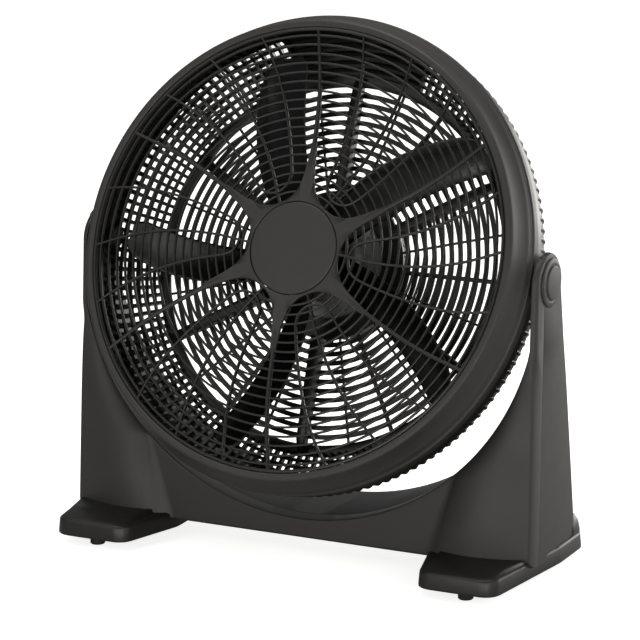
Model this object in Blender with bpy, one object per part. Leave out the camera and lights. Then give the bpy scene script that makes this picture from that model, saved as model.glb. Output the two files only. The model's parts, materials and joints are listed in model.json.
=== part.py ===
# A 50 cm floor fan: a round grille head that tilts between the two arms of a moulded U-shaped stand.
# Metres, +Z up, front towards -Y. The origin is on the floor, under the middle of the whole fan.

import math

import bmesh
import bpy
from mathutils import Matrix, Vector

GAP = 0.0003                # clearance between pieces that touch
RIM_SEGMENTS = 48           # shared by the round pieces that seat on each other at the rim

# Head: every depth is measured along the fan's axis, back from the front grille's face.
TILT = math.radians(21.16)  # how far the head leans back at rest
PIVOT_DEPTH = 0.0645        # the tilt axis crosses the fan's axis here
GRILLE_RADIUS = 0.2475
GRILLE_THICKNESS = 0.004
GRILLE_RINGS = 4            # a plain set of rings, between the hub plate and the rim
GRILLE_SPOKES = 6
HUB_PLATE_RADIUS = 0.0515
HUB_PLATE_THICKNESS = 0.003
RIM_RADIUS = 0.269          # widest part of the bezel
BEZEL_DEPTH = 0.050
BEZEL_WALL = 0.0025
HOUSING_RIM_DEPTH = 0.064
HOUSING_RIM_RADIUS = 0.2668
HOUSING_RIM_WALL = 0.0055
SHOULDER_RADIUS = 0.215     # thick ring where the rear cage turns flat
SHOULDER_RING = 0.0055      # its width and depth
CAGE_DEPTH = 0.1135         # back face of the flat part of the rear cage
CAGE_BAR = 0.004
CAGE_RIBS = 12
HANDLE_HALF_ANGLE = 20      # degrees either side of the top, the closed carrying panel
HANDLE_PROUD = 0.0015       # how far the carrying panel stands outside the ribs
HANDLE_WALL = 0.0024
MOTOR_PLATE_RADIUS = 0.085
MOTOR_RADIUS = 0.045
MOTOR_FRONT_DEPTH = 0.080
MOTOR_LENGTH = 0.062
MOTOR_WALL = 0.003
MOTOR_FLANGE_RADIUS = 0.061
MOTOR_FLANGE = 0.004
WINDING_RADIUS = 0.0265     # inside of the windings, just clear of the rotor
STACK_HALF_LENGTH = 0.011
COVER_BACK_DEPTH = 0.150
COVER_WALL = 0.0025
SHAFT_RADIUS = 0.004
BEARING_RADIUS = 0.011
BEARING_LENGTH = 0.006

# Blade wheel
BLADES = 5
BLADE_TIP_RADIUS = 0.2300
BLADE_HUB_RADIUS = 0.038
BLADE_MID_DEPTH = 0.052
BLADE_THICKNESS = 0.0028
BLADE_HUB_FRONT = 0.029
BLADE_HUB_BACK = 0.0735
BLADE_HUB_WALL = 0.0025
BLADE_ROOT_CHORD = 0.044
BLADE_MID_CHORD = 0.057
BLADE_TIP_CHORD = 0.046
BLADE_WIDEST = 0.55         # share of the way from hub to tip
BLADE_ROOT_PITCH = 40       # degrees out of the wheel's plane
BLADE_TIP_PITCH = 24
BLADE_SWEEP = 17            # degrees the tip runs clockwise of the root
BLADE_FIRST_ANGLE = 38      # degrees clockwise from the top, seen from the front

# Stand
STAND_HEIGHT = 0.3337       # the tilt axis above the floor
STAND_FRONT_TO_AXIS = 0.1257  # front tip of the feet to the tilt axis
ARM_INNER = 0.2728          # half the distance between the arms
ARM_THICKNESS = 0.0070
ARM_TOP_RISE = 0.0325       # the arm's round top above the tilt axis
ARM_FRONT_REACH = 0.037     # tilt axis to the arm's front and rear faces
ARM_REAR_REACH = 0.033
ARM_FRONT_SLOPE = 0.046     # how fast the front face runs forward on its way down
ARM_REAR_SLOPE = 0.150
ARM_FLARE = 0.009
ARC_RADIUS = 0.2795         # the round cut-out that the head swings in
ARC_DROP = 0.0077           # its centre below the tilt axis
SHELL_WALL = 0.0022
EDGE_RADIUS = 0.010         # rounding of the stand's outer edges
SEAM_DEPTH = 0.022          # the two stand shells meet this far behind the front face
PANEL_CLEARANCE = 0.024     # floor to the bottom of the cross panel
LEG_BULGE = 0.014
CREASE_BOTTOM = 0.160       # where the leg's bulge meets the flat panel, at the floor
CREASE_LEAN = 0.32
PANEL_ARC_ANGLE = 43        # degrees from straight down where the panel gives way to the leg
CORNER_ARC_ANGLE = 60
FOOT_PLATE_BOTTOM = 0.012   # floor to the underside of a foot plate
FOOT_WIDTH = 0.130
FOOT_OUTER = 0.287
FOOT_LENGTH = 0.230
FOOT_TOE_INSET = 0.024      # the plate narrows towards its front
FOOT_HEEL_RADIUS = 0.022
TOE_HEIGHT = 0.033
RUBBER_RADIUS = 0.0085
RUBBER_X = 0.228
RUBBER_INSETS = (0.025, 0.030)  # front and rear rubber feet, from the ends of the plate
BOLT_RADIUS = 0.005
CAP_RADIUS = 0.027
WASHER_RADIUS = 0.0138

KNOB_RADIUS = 0.017
KNOB_LENGTH = 0.014
KNOB_DROP = 0.045           # knob centre below the fan's axis
KNOB_STEM_RADIUS = 0.0035
GLAND_RADIUS = 0.0062
SWITCH_HALF_WIDTH = 0.012
SWITCH_DEPTH = 0.0045

ARM_OUTER = ARM_INNER + ARM_THICKNESS
FOOT_PLATE_TOP = PANEL_CLEARANCE - GAP
BEZEL_LIP = GRILLE_RADIUS + GAP
BEZEL_LIP_WIDTH = 0.0082
BEZEL_LIP_FALL = 0.0006     # the lip's outer edge sits this far behind its crown
CAGE_PROFILE = [            # (radius, depth) of a rib's front face, from the rim to the motor plate
    (HOUSING_RIM_RADIUS - 0.0012, HOUSING_RIM_DEPTH - 0.008), (HOUSING_RIM_RADIUS - 0.0048, 0.082),
    (HOUSING_RIM_RADIUS - 0.0200, 0.0960),
    (SHOULDER_RADIUS + 0.013, 0.1045), (SHOULDER_RADIUS, CAGE_DEPTH - CAGE_BAR),
    (MOTOR_PLATE_RADIUS - 0.004, CAGE_DEPTH - CAGE_BAR)]
HEAD_FRONT = ((PIVOT_DEPTH - BEZEL_LIP_FALL) * math.cos(TILT)
              + (BEZEL_LIP + BEZEL_LIP_WIDTH) * math.sin(TILT))
SHOULDER_RING_DEPTH = CAGE_DEPTH - CAGE_BAR - 0.001
HEAD_REAR = ((SHOULDER_RING_DEPTH + SHOULDER_RING - PIVOT_DEPTH) * math.cos(TILT)
             + (SHOULDER_RADIUS + SHOULDER_RING / 2) * math.sin(TILT))
STAND_REAR = FOOT_LENGTH - STAND_FRONT_TO_AXIS
PIVOT_Y = (HEAD_FRONT - max(STAND_REAR, HEAD_REAR)) / 2   # puts the origin under the middle of the fan
PIVOT = Vector((0, PIVOT_Y, STAND_HEIGHT))



def clear_scene():
    for obj in list(bpy.data.objects):
        bpy.data.objects.remove(obj, do_unlink=True)


def material(name, colour, roughness, metallic=0.0):
    made = bpy.data.materials.new(name)
    made.use_nodes = True
    shader = made.node_tree.nodes["Principled BSDF"]
    shader.inputs["Base Color"].default_value = (*colour, 1)
    shader.inputs["Roughness"].default_value = roughness
    shader.inputs["Metallic"].default_value = metallic
    made.diffuse_color = (*colour, 1)
    return made


def object_of(name, bm, look=None, parent=None, location=(0, 0, 0), rotation=(0, 0, 0)):
    bmesh.ops.recalc_face_normals(bm, faces=bm.faces)
    mesh = bpy.data.meshes.new(name)
    bm.to_mesh(mesh)
    bm.free()
    mesh.shade_smooth()
    mesh.set_sharp_from_angle(angle=math.radians(35))
    obj = bpy.data.objects.new(name, mesh)
    bpy.context.scene.collection.objects.link(obj)
    if look:
        mesh.materials.append(look)
    obj.parent = parent
    obj.location = location
    obj.rotation_euler = rotation
    return obj


def as_tool(obj):
    obj.hide_render = True
    obj.display_type = "WIRE"
    return obj


def combine(target, tool, operation):
    step = target.modifiers.new(operation.title(), "BOOLEAN")
    step.operation = operation
    step.object = tool
    step.solver = "EXACT"


def add_turned(bm, profile, segments):
    """Adds a body of revolution about Y from (radius, y) points; points on the axis become poles."""
    rings = []
    for radius, y in profile:
        if radius == 0:
            rings.append([bm.verts.new((0, y, 0))])
            continue
        turn = [2 * math.pi * i / segments for i in range(segments)]
        rings.append([bm.verts.new((radius * math.sin(a), y, radius * math.cos(a))) for a in turn])
    for near, far in zip(rings, rings[1:] + rings[:1]):
        if len(near) == len(far) == 1:
            continue
        for i in range(segments):
            j = (i + 1) % segments
            corners = (near[i % len(near)], near[j % len(near)], far[j % len(far)], far[i % len(far)])
            bm.faces.new(list(dict.fromkeys(corners)))


def turned(profile, segments):
    bm = bmesh.new()
    add_turned(bm, profile, segments)
    return bm


def tube(inner, outer, start, end, segments=24):
    return turned([(inner, start), (outer, start), (outer, end), (inner, end)], segments)


def rod(radius, start, end, segments=24):
    return turned([(0, start), (radius, start), (radius, end), (0, end)], segments)


def loft(bm, loops):
    """Joins closed loops of points into one capped body."""
    rows = [[bm.verts.new(point) for point in loop] for loop in loops]
    count = len(rows[0])
    for near, far in zip(rows, rows[1:]):
        for i in range(count):
            j = (i + 1) % count
            bm.faces.new((near[i], near[j], far[j], far[i]))
    bm.faces.new(rows[0])
    bm.faces.new(rows[-1][::-1])
    return bm


def rounded_outline(corners, steps=4):
    """A closed outline through (x, y, radius) corners, each rounded by an arc."""
    points = []
    for i, (x, y, radius) in enumerate(corners):
        here = Vector((x, y))
        before = Vector(corners[i - 1][:2]) - here
        after = Vector(corners[(i + 1) % len(corners)][:2]) - here
        half = before.angle(after) / 2
        reach = radius / math.tan(half)
        centre = here + (before.normalized() + after.normalized()).normalized() * radius / math.sin(half)
        start = here + before.normalized() * reach - centre
        end = here + after.normalized() * reach - centre
        sweep = start.angle_signed(end)
        for k in range(steps + 1):
            points.append(centre + Matrix.Rotation(-sweep * k / steps, 2) @ start)
    return points


def polar(radius, degrees, y):
    """A point in the head's frame, at an angle clockwise from the top seen from the front."""
    angle = math.radians(degrees)
    return Vector((radius * math.sin(angle), y, radius * math.cos(angle)))


def at_depth(depth):
    return depth - PIVOT_DEPTH


def bar_along(bm, path, width, thickness):
    """A flat bar along (radius, angle) points, its front face at each point's own depth."""
    loops = []
    for i, (radius, angle, depth) in enumerate(path):
        here = polar(radius, angle, at_depth(depth))
        ahead = polar(*path[min(i + 1, len(path) - 1)][:2], 0)
        behind = polar(*path[max(i - 1, 0)][:2], 0)
        run = (ahead - behind).normalized()
        side = run.cross(Vector((0, 1, 0))).normalized() * width / 2
        back = Vector((0, thickness, 0))
        loops.append([here - side, here + side, here + side + back, here - side + back])
    loft(bm, loops)


def spoke_angle(radius, offset):
    """The spokes curve: their angle falls away from the straight line as they near the rim."""
    share = (radius - HUB_PLATE_RADIUS) / (GRILLE_RADIUS - HUB_PLATE_RADIUS)
    return offset + 4.5 - 7.5 * share ** 1.6


def front_grille(look, head):
    radii = [HUB_PLATE_RADIUS + 0.004 + i * (GRILLE_RADIUS - HUB_PLATE_RADIUS - 0.004) / GRILLE_RINGS
             for i in range(1, GRILLE_RINGS)]
    rings = bmesh.new()
    bars = [(radius - 0.00125, radius + 0.00125, GRILLE_THICKNESS - 0.0008) for radius in radii]
    bars.append((GRILLE_RADIUS - 0.0035, GRILLE_RADIUS, GRILLE_THICKNESS))
    for inner, outer, back in bars:
        add_turned(rings, [(inner, at_depth(0)), (outer, at_depth(0)), (outer, at_depth(back)),
                           (inner, at_depth(back))], RIM_SEGMENTS if outer == GRILLE_RADIUS else 32)
    grille = object_of("front_grille", rings, look, head)
    hub = object_of("grille_hub", tube(0.006, HUB_PLATE_RADIUS + 0.004, at_depth(HUB_PLATE_THICKNESS + GAP),
                                       at_depth(HUB_PLATE_THICKNESS + 0.0028), 32), None, head)
    combine(grille, as_tool(hub), "UNION")
    bars = bmesh.new()
    first = HUB_PLATE_RADIUS + 0.0012
    steps = [first + k * (GRILLE_RADIUS - 0.002 - first) / 4 for k in range(5)]
    for i in range(2 * GRILLE_SPOKES):
        width, depth, thickness = (0.0026, 0.0006, 0.0046) if i % 2 else (0.0050, 0.0004, 0.0050)
        turn = i * 180 / GRILLE_SPOKES
        bar_along(bars, [(r, spoke_angle(r, turn), depth) for r in steps], width, thickness)
    combine(grille, as_tool(object_of("grille_bars", bars, None, head)), "UNION")
    return grille


def hub_plate(look, head):
    rim = HUB_PLATE_RADIUS
    profile = [(0, at_depth(0)), (rim - 0.001, at_depth(0)), (rim, at_depth(0.001)),
               (rim, at_depth(HUB_PLATE_THICKNESS)), (0, at_depth(HUB_PLATE_THICKNESS))]
    return object_of("hub_plate", turned(profile, 32), look, head)


def bezel_ring(look, head):
    """The front rim: a rolled lip round the grille, a hollow band, then a bead and a short side wall."""
    lip, rim, wall = BEZEL_LIP, RIM_RADIUS, BEZEL_WALL
    outer = [(lip, 0.0015), (lip + 0.0024, 0.0), (lip + BEZEL_LIP_WIDTH, BEZEL_LIP_FALL),
             (lip + 0.0102, 0.0045),
             (lip + 0.0128, 0.014), (lip + 0.0170, 0.026), (rim - 0.0012, 0.0315), (rim, 0.034),
             (rim, 0.039), (rim - 0.0008, BEZEL_DEPTH)]
    inner = [(rim - 0.0008 - wall, BEZEL_DEPTH), (rim - wall, 0.0355), (lip + 0.0150, 0.0295),
             (lip + 0.0103, 0.015), (lip + 0.0060, 0.0045), (lip, 0.0045)]
    profile = [(r, at_depth(d)) for r, d in outer + inner]
    return object_of("bezel_ring", turned(profile, RIM_SEGMENTS), look, head)


def rear_housing(look, head):
    """The rim behind the bezel and, joined to it, the open cage that carries the motor."""
    rim = tube(HOUSING_RIM_RADIUS - HOUSING_RIM_WALL, HOUSING_RIM_RADIUS, at_depth(BEZEL_DEPTH + GAP),
               at_depth(HOUSING_RIM_DEPTH), RIM_SEGMENTS)
    housing = object_of("rear_housing", rim, look, head)
    back = CAGE_DEPTH - CAGE_BAR
    rings = bmesh.new()
    ring_gap = (SHOULDER_RADIUS - MOTOR_PLATE_RADIUS) / 3
    places = [(HOUSING_RIM_RADIUS - 0.0195, 0.0965, 0.003),
              (SHOULDER_RADIUS, SHOULDER_RING_DEPTH, SHOULDER_RING)]
    places += [(SHOULDER_RADIUS - k * ring_gap, back + 0.0005, 0.003) for k in (1, 2)]
    for radius, depth, width in places:
        add_turned(rings, [(radius - width / 2, at_depth(depth)), (radius + width / 2, at_depth(depth)),
                           (radius + width / 2, at_depth(depth + width)),
                           (radius - width / 2, at_depth(depth + width))], 32)
    combine(housing, as_tool(object_of("cage_rings", rings, None, head)), "UNION")
    ribs = bmesh.new()
    for i in range(CAGE_RIBS):
        turn = (i + 0.5) * 360 / CAGE_RIBS
        bar_along(ribs, [(radius, turn, depth) for radius, depth in CAGE_PROFILE], 0.0035, CAGE_BAR)
    combine(housing, as_tool(object_of("cage_ribs", ribs, None, head)), "UNION")
    plate = tube(MOTOR_RADIUS + 0.004, MOTOR_PLATE_RADIUS, at_depth(back - 0.0003),
                 at_depth(CAGE_DEPTH - 0.0008), 32)
    combine(housing, as_tool(object_of("motor_plate", plate, None, head)), "UNION")
    combine(housing, as_tool(carrying_panel(head)), "UNION")
    for side in (-1, 1):
        turn = (0, 0.05, -side * math.pi / 2)
        boss = rod(WASHER_RADIUS, RIM_RADIUS - 0.016, RIM_RADIUS + GAP, 20)
        combine(housing, as_tool(object_of(f"pivot_boss_{side}", boss, None, head, rotation=turn)), "UNION")
        bore = rod(BOLT_RADIUS + GAP, RIM_RADIUS - 0.03, RIM_RADIUS + 0.01, 16)
        cutter = as_tool(object_of(f"pivot_bore_{side}", bore, None, head, rotation=turn))
        combine(housing, cutter, "DIFFERENCE")
    return housing


def carrying_panel(head):
    """The closed panel at the top of the sloping shoulder, gripped to carry the fan."""
    loops = []
    for k in range(7):
        angle = HANDLE_HALF_ANGLE * (k / 3 - 1)
        front = [polar(radius, angle, at_depth(depth + 0.0006)) for radius, depth in CAGE_PROFILE[:5]]
        back = [polar(radius + HANDLE_PROUD, angle, at_depth(depth + 0.0006 + HANDLE_WALL))
                for radius, depth in CAGE_PROFILE[:5]]
        loops.append(front + back[::-1])
    return object_of("carrying_panel", loft(bmesh.new(), loops), None, head)


def bell(name, look, head, end, inward, mouth):
    """A motor end bell: a bearing boss in the middle of a cup that opens at mouth."""
    boss, outer, wall = BEARING_RADIUS, MOTOR_RADIUS, MOTOR_WALL

    def inside(depth):
        return end + inward * depth
    profile = [(boss + GAP, end), (outer - 0.006, end), (outer, inside(0.006))]
    profile += mouth
    profile += [(outer - wall, inside(0.007)), (outer - wall - 0.004, inside(wall)),
                (boss + 0.0022, inside(wall)), (boss + 0.0022, inside(0.008)), (boss + GAP, inside(0.008))]
    object_of(name, turned([(r, at_depth(d)) for r, d in profile], 24), look, head)


def motor(looks, head, rotor):
    start, end = MOTOR_FRONT_DEPTH, MOTOR_FRONT_DEPTH + MOTOR_LENGTH
    plate_front = CAGE_DEPTH - CAGE_BAR - 2 * GAP
    flange_front = plate_front - MOTOR_FLANGE
    stack = (plate_front + 0.0025 - STACK_HALF_LENGTH, plate_front + 0.0025 + STACK_HALF_LENGTH)
    outer, wall = MOTOR_RADIUS, MOTOR_WALL
    bell("motor_front_bell", looks["cast"], head, start, 1,
         [(outer, flange_front), (MOTOR_FLANGE_RADIUS, flange_front),
          (MOTOR_FLANGE_RADIUS, plate_front - GAP), (outer + GAP, plate_front - GAP),
          (outer + GAP, flange_front + 0.0005), (outer - wall, stack[0] - 0.001)])
    bell("motor_rear_bell", looks["cast"], head, end, -1,
         [(outer, stack[1] + GAP), (outer - wall, stack[1] + GAP)])
    inner = outer - wall - 0.0005
    stator = tube(WINDING_RADIUS - 0.0017, inner, at_depth(stack[0]), at_depth(stack[1]), 24)
    object_of("stator_stack", stator, looks["steel"], head)
    for name, first, last in (("front_winding", start + 0.0115, stack[0] - GAP),
                              ("rear_winding", stack[1] + GAP, end - 0.0115)):
        winding = tube(WINDING_RADIUS, inner - 0.002, at_depth(first), at_depth(last), 24)
        object_of(name, winding, looks["copper"], head)
    for name, first in (("front_bearing", start + 0.001), ("rear_bearing", end - 0.001 - BEARING_LENGTH)):
        last = first + BEARING_LENGTH
        bearing = tube(SHAFT_RADIUS + GAP, BEARING_RADIUS, at_depth(first), at_depth(last), 16)
        object_of(name, bearing, looks["bronze"], head)
    core = tube(SHAFT_RADIUS + GAP, WINDING_RADIUS - 0.0023, at_depth(stack[0]), at_depth(stack[1]), 24)
    object_of("rotor_core", core, looks["steel"], rotor)
    shaft = rod(SHAFT_RADIUS, at_depth(BLADE_HUB_FRONT + 0.002), at_depth(end - 0.0005), 16)
    object_of("motor_shaft", shaft, looks["shaft"], rotor)
    for i in range(4):
        place = polar(MOTOR_RADIUS + 0.0085, 45 + 90 * i, 0)
        screw = rod(0.0040, at_depth(flange_front - 0.0025), at_depth(flange_front - GAP), 10)
        object_of(f"motor_screw_{i + 1}", screw, looks["zinc"], head, place)


def motor_cover(looks, head):
    """The domed cover behind the cage, with the switch, the run capacitor and the cord's gland."""
    base, back, wall = CAGE_DEPTH + GAP, COVER_BACK_DEPTH, COVER_WALL
    rim = MOTOR_PLATE_RADIUS - 0.002
    profile = [(rim, base), (rim - 0.003, back - 0.018), (rim - 0.010, back - 0.006), (rim - 0.020, back),
               (0, back), (0, back - wall), (rim - 0.021, back - wall), (rim - 0.0115, back - 0.0075),
               (rim - wall - 0.003, back - 0.019), (rim - wall, base)]
    shell = turned([(r, at_depth(d)) for r, d in profile], 32)
    cover = object_of("motor_cover", shell, looks["shell"], head)
    hole = rod(KNOB_STEM_RADIUS + 0.001, at_depth(back - 0.01), at_depth(back + 0.01), 16)
    cutter = as_tool(object_of("knob_hole", hole, None, head, (0, 0, -KNOB_DROP), (0, 0.1, 0)))
    combine(cover, cutter, "DIFFERENCE")
    outlet_depth = at_depth((base + back) / 2 - 0.004)
    outlet = rod(GLAND_RADIUS + GAP, 0, 0.03, 20)
    down = (-math.pi / 2, 0, 0)
    outlet_place = (0, outlet_depth, -rim + 0.013)
    combine(cover, as_tool(object_of("cord_hole", outlet, None, head, outlet_place, down)), "DIFFERENCE")
    gland = tube(GLAND_RADIUS - 0.0026, GLAND_RADIUS, rim - 0.008, rim + 0.006, 20)
    object_of("cord_gland", gland, looks["rubber"], head, (0, outlet_depth, 0), down)
    half, depth = SWITCH_HALF_WIDTH, SWITCH_DEPTH
    corners = ((-half, 0.002 - half), (half, 0.002 - half), (half, half - 0.002), (-half, half - 0.002))
    switch = loft(bmesh.new(), [[Vector((x, y, z)) for x, z in corners] for y in (0, depth)])
    object_of("speed_switch", switch, looks["nylon"], head,
              (0, at_depth(back - wall - GAP - depth), -KNOB_DROP - 0.0025))
    object_of("run_capacitor", rod(0.009, -0.018, 0.018, 16), looks["nylon"], head,
              (rim - 0.017, at_depth(base + 0.0145), 0), (math.pi / 2, 0, 0))
    for i in range(3):
        place = polar(rim - 0.030, 120 * i, 0)
        head_profile = ((0, GAP), (0.0036, GAP), (0.0030, 0.0022), (0, 0.0024))
        screw = turned([(r, at_depth(back + d)) for r, d in head_profile], 10)
        object_of(f"cover_screw_{i + 1}", screw, looks["zinc"], head, place)


def speed_knob(look, head):
    base = KNOB_LENGTH * 0.5
    profile = [(0, 0), (KNOB_RADIUS, 0), (KNOB_RADIUS - 0.001, base - 0.0014), (KNOB_RADIUS - 0.003, base),
               (0, base)]
    place = (0, at_depth(COVER_BACK_DEPTH + 2 * GAP), -KNOB_DROP)
    knob = object_of("speed_knob", turned(profile, 24), look, head, place)
    reach = KNOB_RADIUS - 0.004
    loops = [[Vector((x, y, z))
              for x, z in ((-w, -reach), (w, -reach), (w * 0.7, reach), (-w * 0.7, reach))]
             for y, w in ((KNOB_LENGTH * 0.3, 0.0050), (KNOB_LENGTH, 0.0035))]
    combine(knob, as_tool(object_of("knob_grip", loft(bmesh.new(), loops), None, knob)), "UNION")
    stem = rod(KNOB_STEM_RADIUS, -COVER_WALL - 2 * GAP, 0.002, 16)
    combine(knob, as_tool(object_of("knob_stem", stem, None, knob)), "UNION")
    return knob


def blade_chord(share):
    """Widest a little over half way out, then drawn in to a narrower tip."""
    if share < BLADE_WIDEST:
        growth = math.sin(math.pi / 2 * share / BLADE_WIDEST)
        return BLADE_ROOT_CHORD + (BLADE_MID_CHORD - BLADE_ROOT_CHORD) * growth
    past = (share - BLADE_WIDEST) / (1 - BLADE_WIDEST)
    return BLADE_MID_CHORD + (BLADE_TIP_CHORD - BLADE_MID_CHORD) * past ** 2


def blade(centre):
    """One swept, twisted blade as a closed sheet between hub and tip."""
    root, tip = BLADE_HUB_RADIUS - 0.003, BLADE_TIP_RADIUS
    rows, columns = 7, 5
    loops = []
    for i in range(rows):
        share = i / (rows - 1)
        radius = root + (tip - root) * share
        chord = blade_chord(share)
        pitch = math.radians(BLADE_ROOT_PITCH + (BLADE_TIP_PITCH - BLADE_ROOT_PITCH) * share)
        front, back = [], []
        for j in range(columns):
            across = 2 * j / (columns - 1) - 1
            along = across * chord / 2
            angle = centre + BLADE_SWEEP * share ** 1.2 + math.degrees(along * math.cos(pitch) / radius)
            depth = BLADE_MID_DEPTH + along * math.sin(pitch) + 0.05 * chord * (1 - across ** 2)
            thin = BLADE_THICKNESS * (0.5 if abs(across) == 1 else 1)
            front.append(polar(radius, angle, at_depth(depth - thin / 2)))
            back.append(polar(radius, angle, at_depth(depth + thin / 2)))
        loops.append(front + back[::-1])
    return loft(bmesh.new(), loops)


def blade_wheel(looks, rotor):
    radius, start, end, wall = BLADE_HUB_RADIUS, BLADE_HUB_FRONT, BLADE_HUB_BACK, BLADE_HUB_WALL
    hole = SHAFT_RADIUS + GAP
    nose = start + 0.012
    profile = [(hole, start), (radius - 0.010, start), (radius - 0.002, start + 0.005), (radius, nose),
               (radius, end), (radius - wall, end), (radius - wall, nose), (radius - 0.011, start + wall),
               (hole + 0.005, start + wall), (hole + 0.005, start + 0.030), (hole, start + 0.030)]
    hub = turned([(r, at_depth(d)) for r, d in profile], 32)
    wheel = object_of("blade_wheel", hub, looks["blade"], rotor)
    bore = rod(radius - wall + 0.0002, at_depth(start + 0.014), at_depth(end + 0.02), 32)
    keep_out = as_tool(object_of("hub_bore", bore, None, rotor))
    for i in range(BLADES):
        one = as_tool(object_of(f"blade_{i}", blade(BLADE_FIRST_ANGLE + i * 360 / BLADES), None, rotor))
        combine(one, keep_out, "DIFFERENCE")
        combine(wheel, one, "UNION")
    nut = [(0, start - 0.012), (0.007, start - 0.0115), (0.011, start - 0.007), (0.012, start - GAP),
           (0, start - GAP)]
    object_of("blade_nut", turned([(r, at_depth(d)) for r, d in nut], 20), looks["nylon"], rotor)


def lower(z):
    """Distance below the tilt axis, for the tapers that start there."""
    return max(0, STAND_HEIGHT - z)


def front_y(z):
    return PIVOT_Y - ARM_FRONT_REACH - ARM_FRONT_SLOPE * lower(z)


def rear_y(z):
    return PIVOT_Y + ARM_REAR_REACH + ARM_REAR_SLOPE * lower(z)


def seam_y(z):
    return front_y(z) + SEAM_DEPTH


def outer_x(z):
    return ARM_OUTER + ARM_FLARE * lower(z)


def crease_x(z):
    """Where the leg's bulge leaves the flat panel; it leans inwards on its way down."""
    centre = STAND_HEIGHT - ARC_DROP
    on_arc = math.sqrt(max(0, ARC_RADIUS ** 2 - (centre - z) ** 2))
    return max(on_arc, CREASE_BOTTOM + CREASE_LEAN * (z - PANEL_CLEARANCE))


def bulge(x, z):
    share = (abs(x) - crease_x(z)) / (outer_x(z) - crease_x(z))
    if not 0 < share < 1:
        return 0
    swell = min(1, max(0, (lower(z) - 0.17) / 0.14))
    return LEG_BULGE * swell * math.sin(math.pi * share ** 0.62)


def stations(top_angles):
    """(inner, outer, top angle) along the right half of the U, from the arm's round top to the middle."""
    made = []
    for degrees in top_angles:
        z = STAND_HEIGHT + ARM_TOP_RISE * math.sin(math.radians(degrees))
        made.append((Vector((ARM_INNER, z)), Vector((ARM_OUTER, z)), math.radians(degrees)))
    centre = Vector((0, STAND_HEIGHT - ARC_DROP))
    top = math.degrees(math.asin(ARM_INNER / ARC_RADIUS))
    corner, crease, floor = CORNER_ARC_ANGLE, PANEL_ARC_ANGLE, PANEL_CLEARANCE
    side_top = centre.y - ARC_RADIUS * math.cos(math.radians(top))
    corner_x = outer_x(floor)
    arc_angles = ([top - k * (top - corner) / 4 for k in range(5)]
                  + [corner - k * (corner - crease) / 4 for k in range(1, 5)]
                  + [crease - k * crease / 5 for k in range(1, 6)])
    for degrees in arc_angles:
        angle = math.radians(degrees)
        inner = centre + ARC_RADIUS * Vector((math.sin(angle), -math.cos(angle)))
        if degrees >= corner:
            z = side_top + (floor - side_top) * (top - degrees) / (top - corner)
            outer = Vector((outer_x(z), z))
        elif degrees >= crease:
            share = (corner - degrees) / (corner - crease)
            outer = Vector((corner_x + (CREASE_BOTTOM - corner_x) * share, floor))
        else:
            outer = Vector((CREASE_BOTTOM * degrees / crease, floor))
        made.append((inner, outer, 0))
    return made


def shell_section(inner, outer, top_angle, front):
    """One closed section of a stand shell: its skin, then its hollow side."""
    run = (outer - inner).normalized()
    width = (outer - inner).length
    wall = SHELL_WALL
    sign = 1 if front else -1
    fall = 1 - math.cos(top_angle)

    def face(p):
        if front:
            return front_y(p.y) + ARM_FRONT_REACH * fall - bulge(p.x, p.y)
        return rear_y(p.y) - ARM_REAR_REACH * fall

    def seam(p):
        if front:
            return seam_y(p.y) - GAP / 2
        return max(seam_y(p.y) + GAP / 2, PIVOT_Y - ARM_FRONT_REACH * math.cos(top_angle))

    deep = abs(seam(outer) - face(outer))
    soft = min(EDGE_RADIUS, 0.85 * width, 0.6 * deep)
    nip = min(0.002, 0.5 * (width - soft), 0.2 * deep)
    points = []

    def add(along, y_of):
        place = inner + run * along
        points.append(Vector((place.x, y_of(place), place.y)))

    add(width, seam)
    add(width, lambda p: face(p) + sign * soft)
    add(width - 0.3 * soft, lambda p: face(p) + sign * 0.3 * soft)
    for k in range(6):
        add((width - soft) + (nip + soft - width) * k / 5, face)
    add(0, lambda p: face(p) + sign * nip)
    add(0, seam)
    add(wall, seam)
    if top_angle > math.radians(30):
        for along in (wall + 0.0001, width / 2, width - wall - 0.0001):
            add(along, lambda p: seam(p) - sign * 0.0003)
    else:
        add(wall + 0.0001, lambda p: face(p) + sign * (wall + nip))
        add(width / 2, lambda p: face(p) + sign * wall)
        add(width - wall - 0.0001, lambda p: face(p) + sign * (wall + 0.45 * soft))
    add(width - wall, seam)
    return points


def stand_shell(name, look, front):
    top_angles = (62, 50, 35, 18, 0) if front else (82, 70, 55, 40, 20, 0)
    right = [shell_section(inner, outer, angle, front) for inner, outer, angle in stations(top_angles)]
    left = [[Vector((-p.x, p.y, p.z)) for p in loop] for loop in right[:-1]]
    return object_of(name, loft(bmesh.new(), right + left[::-1]), look)


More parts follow.
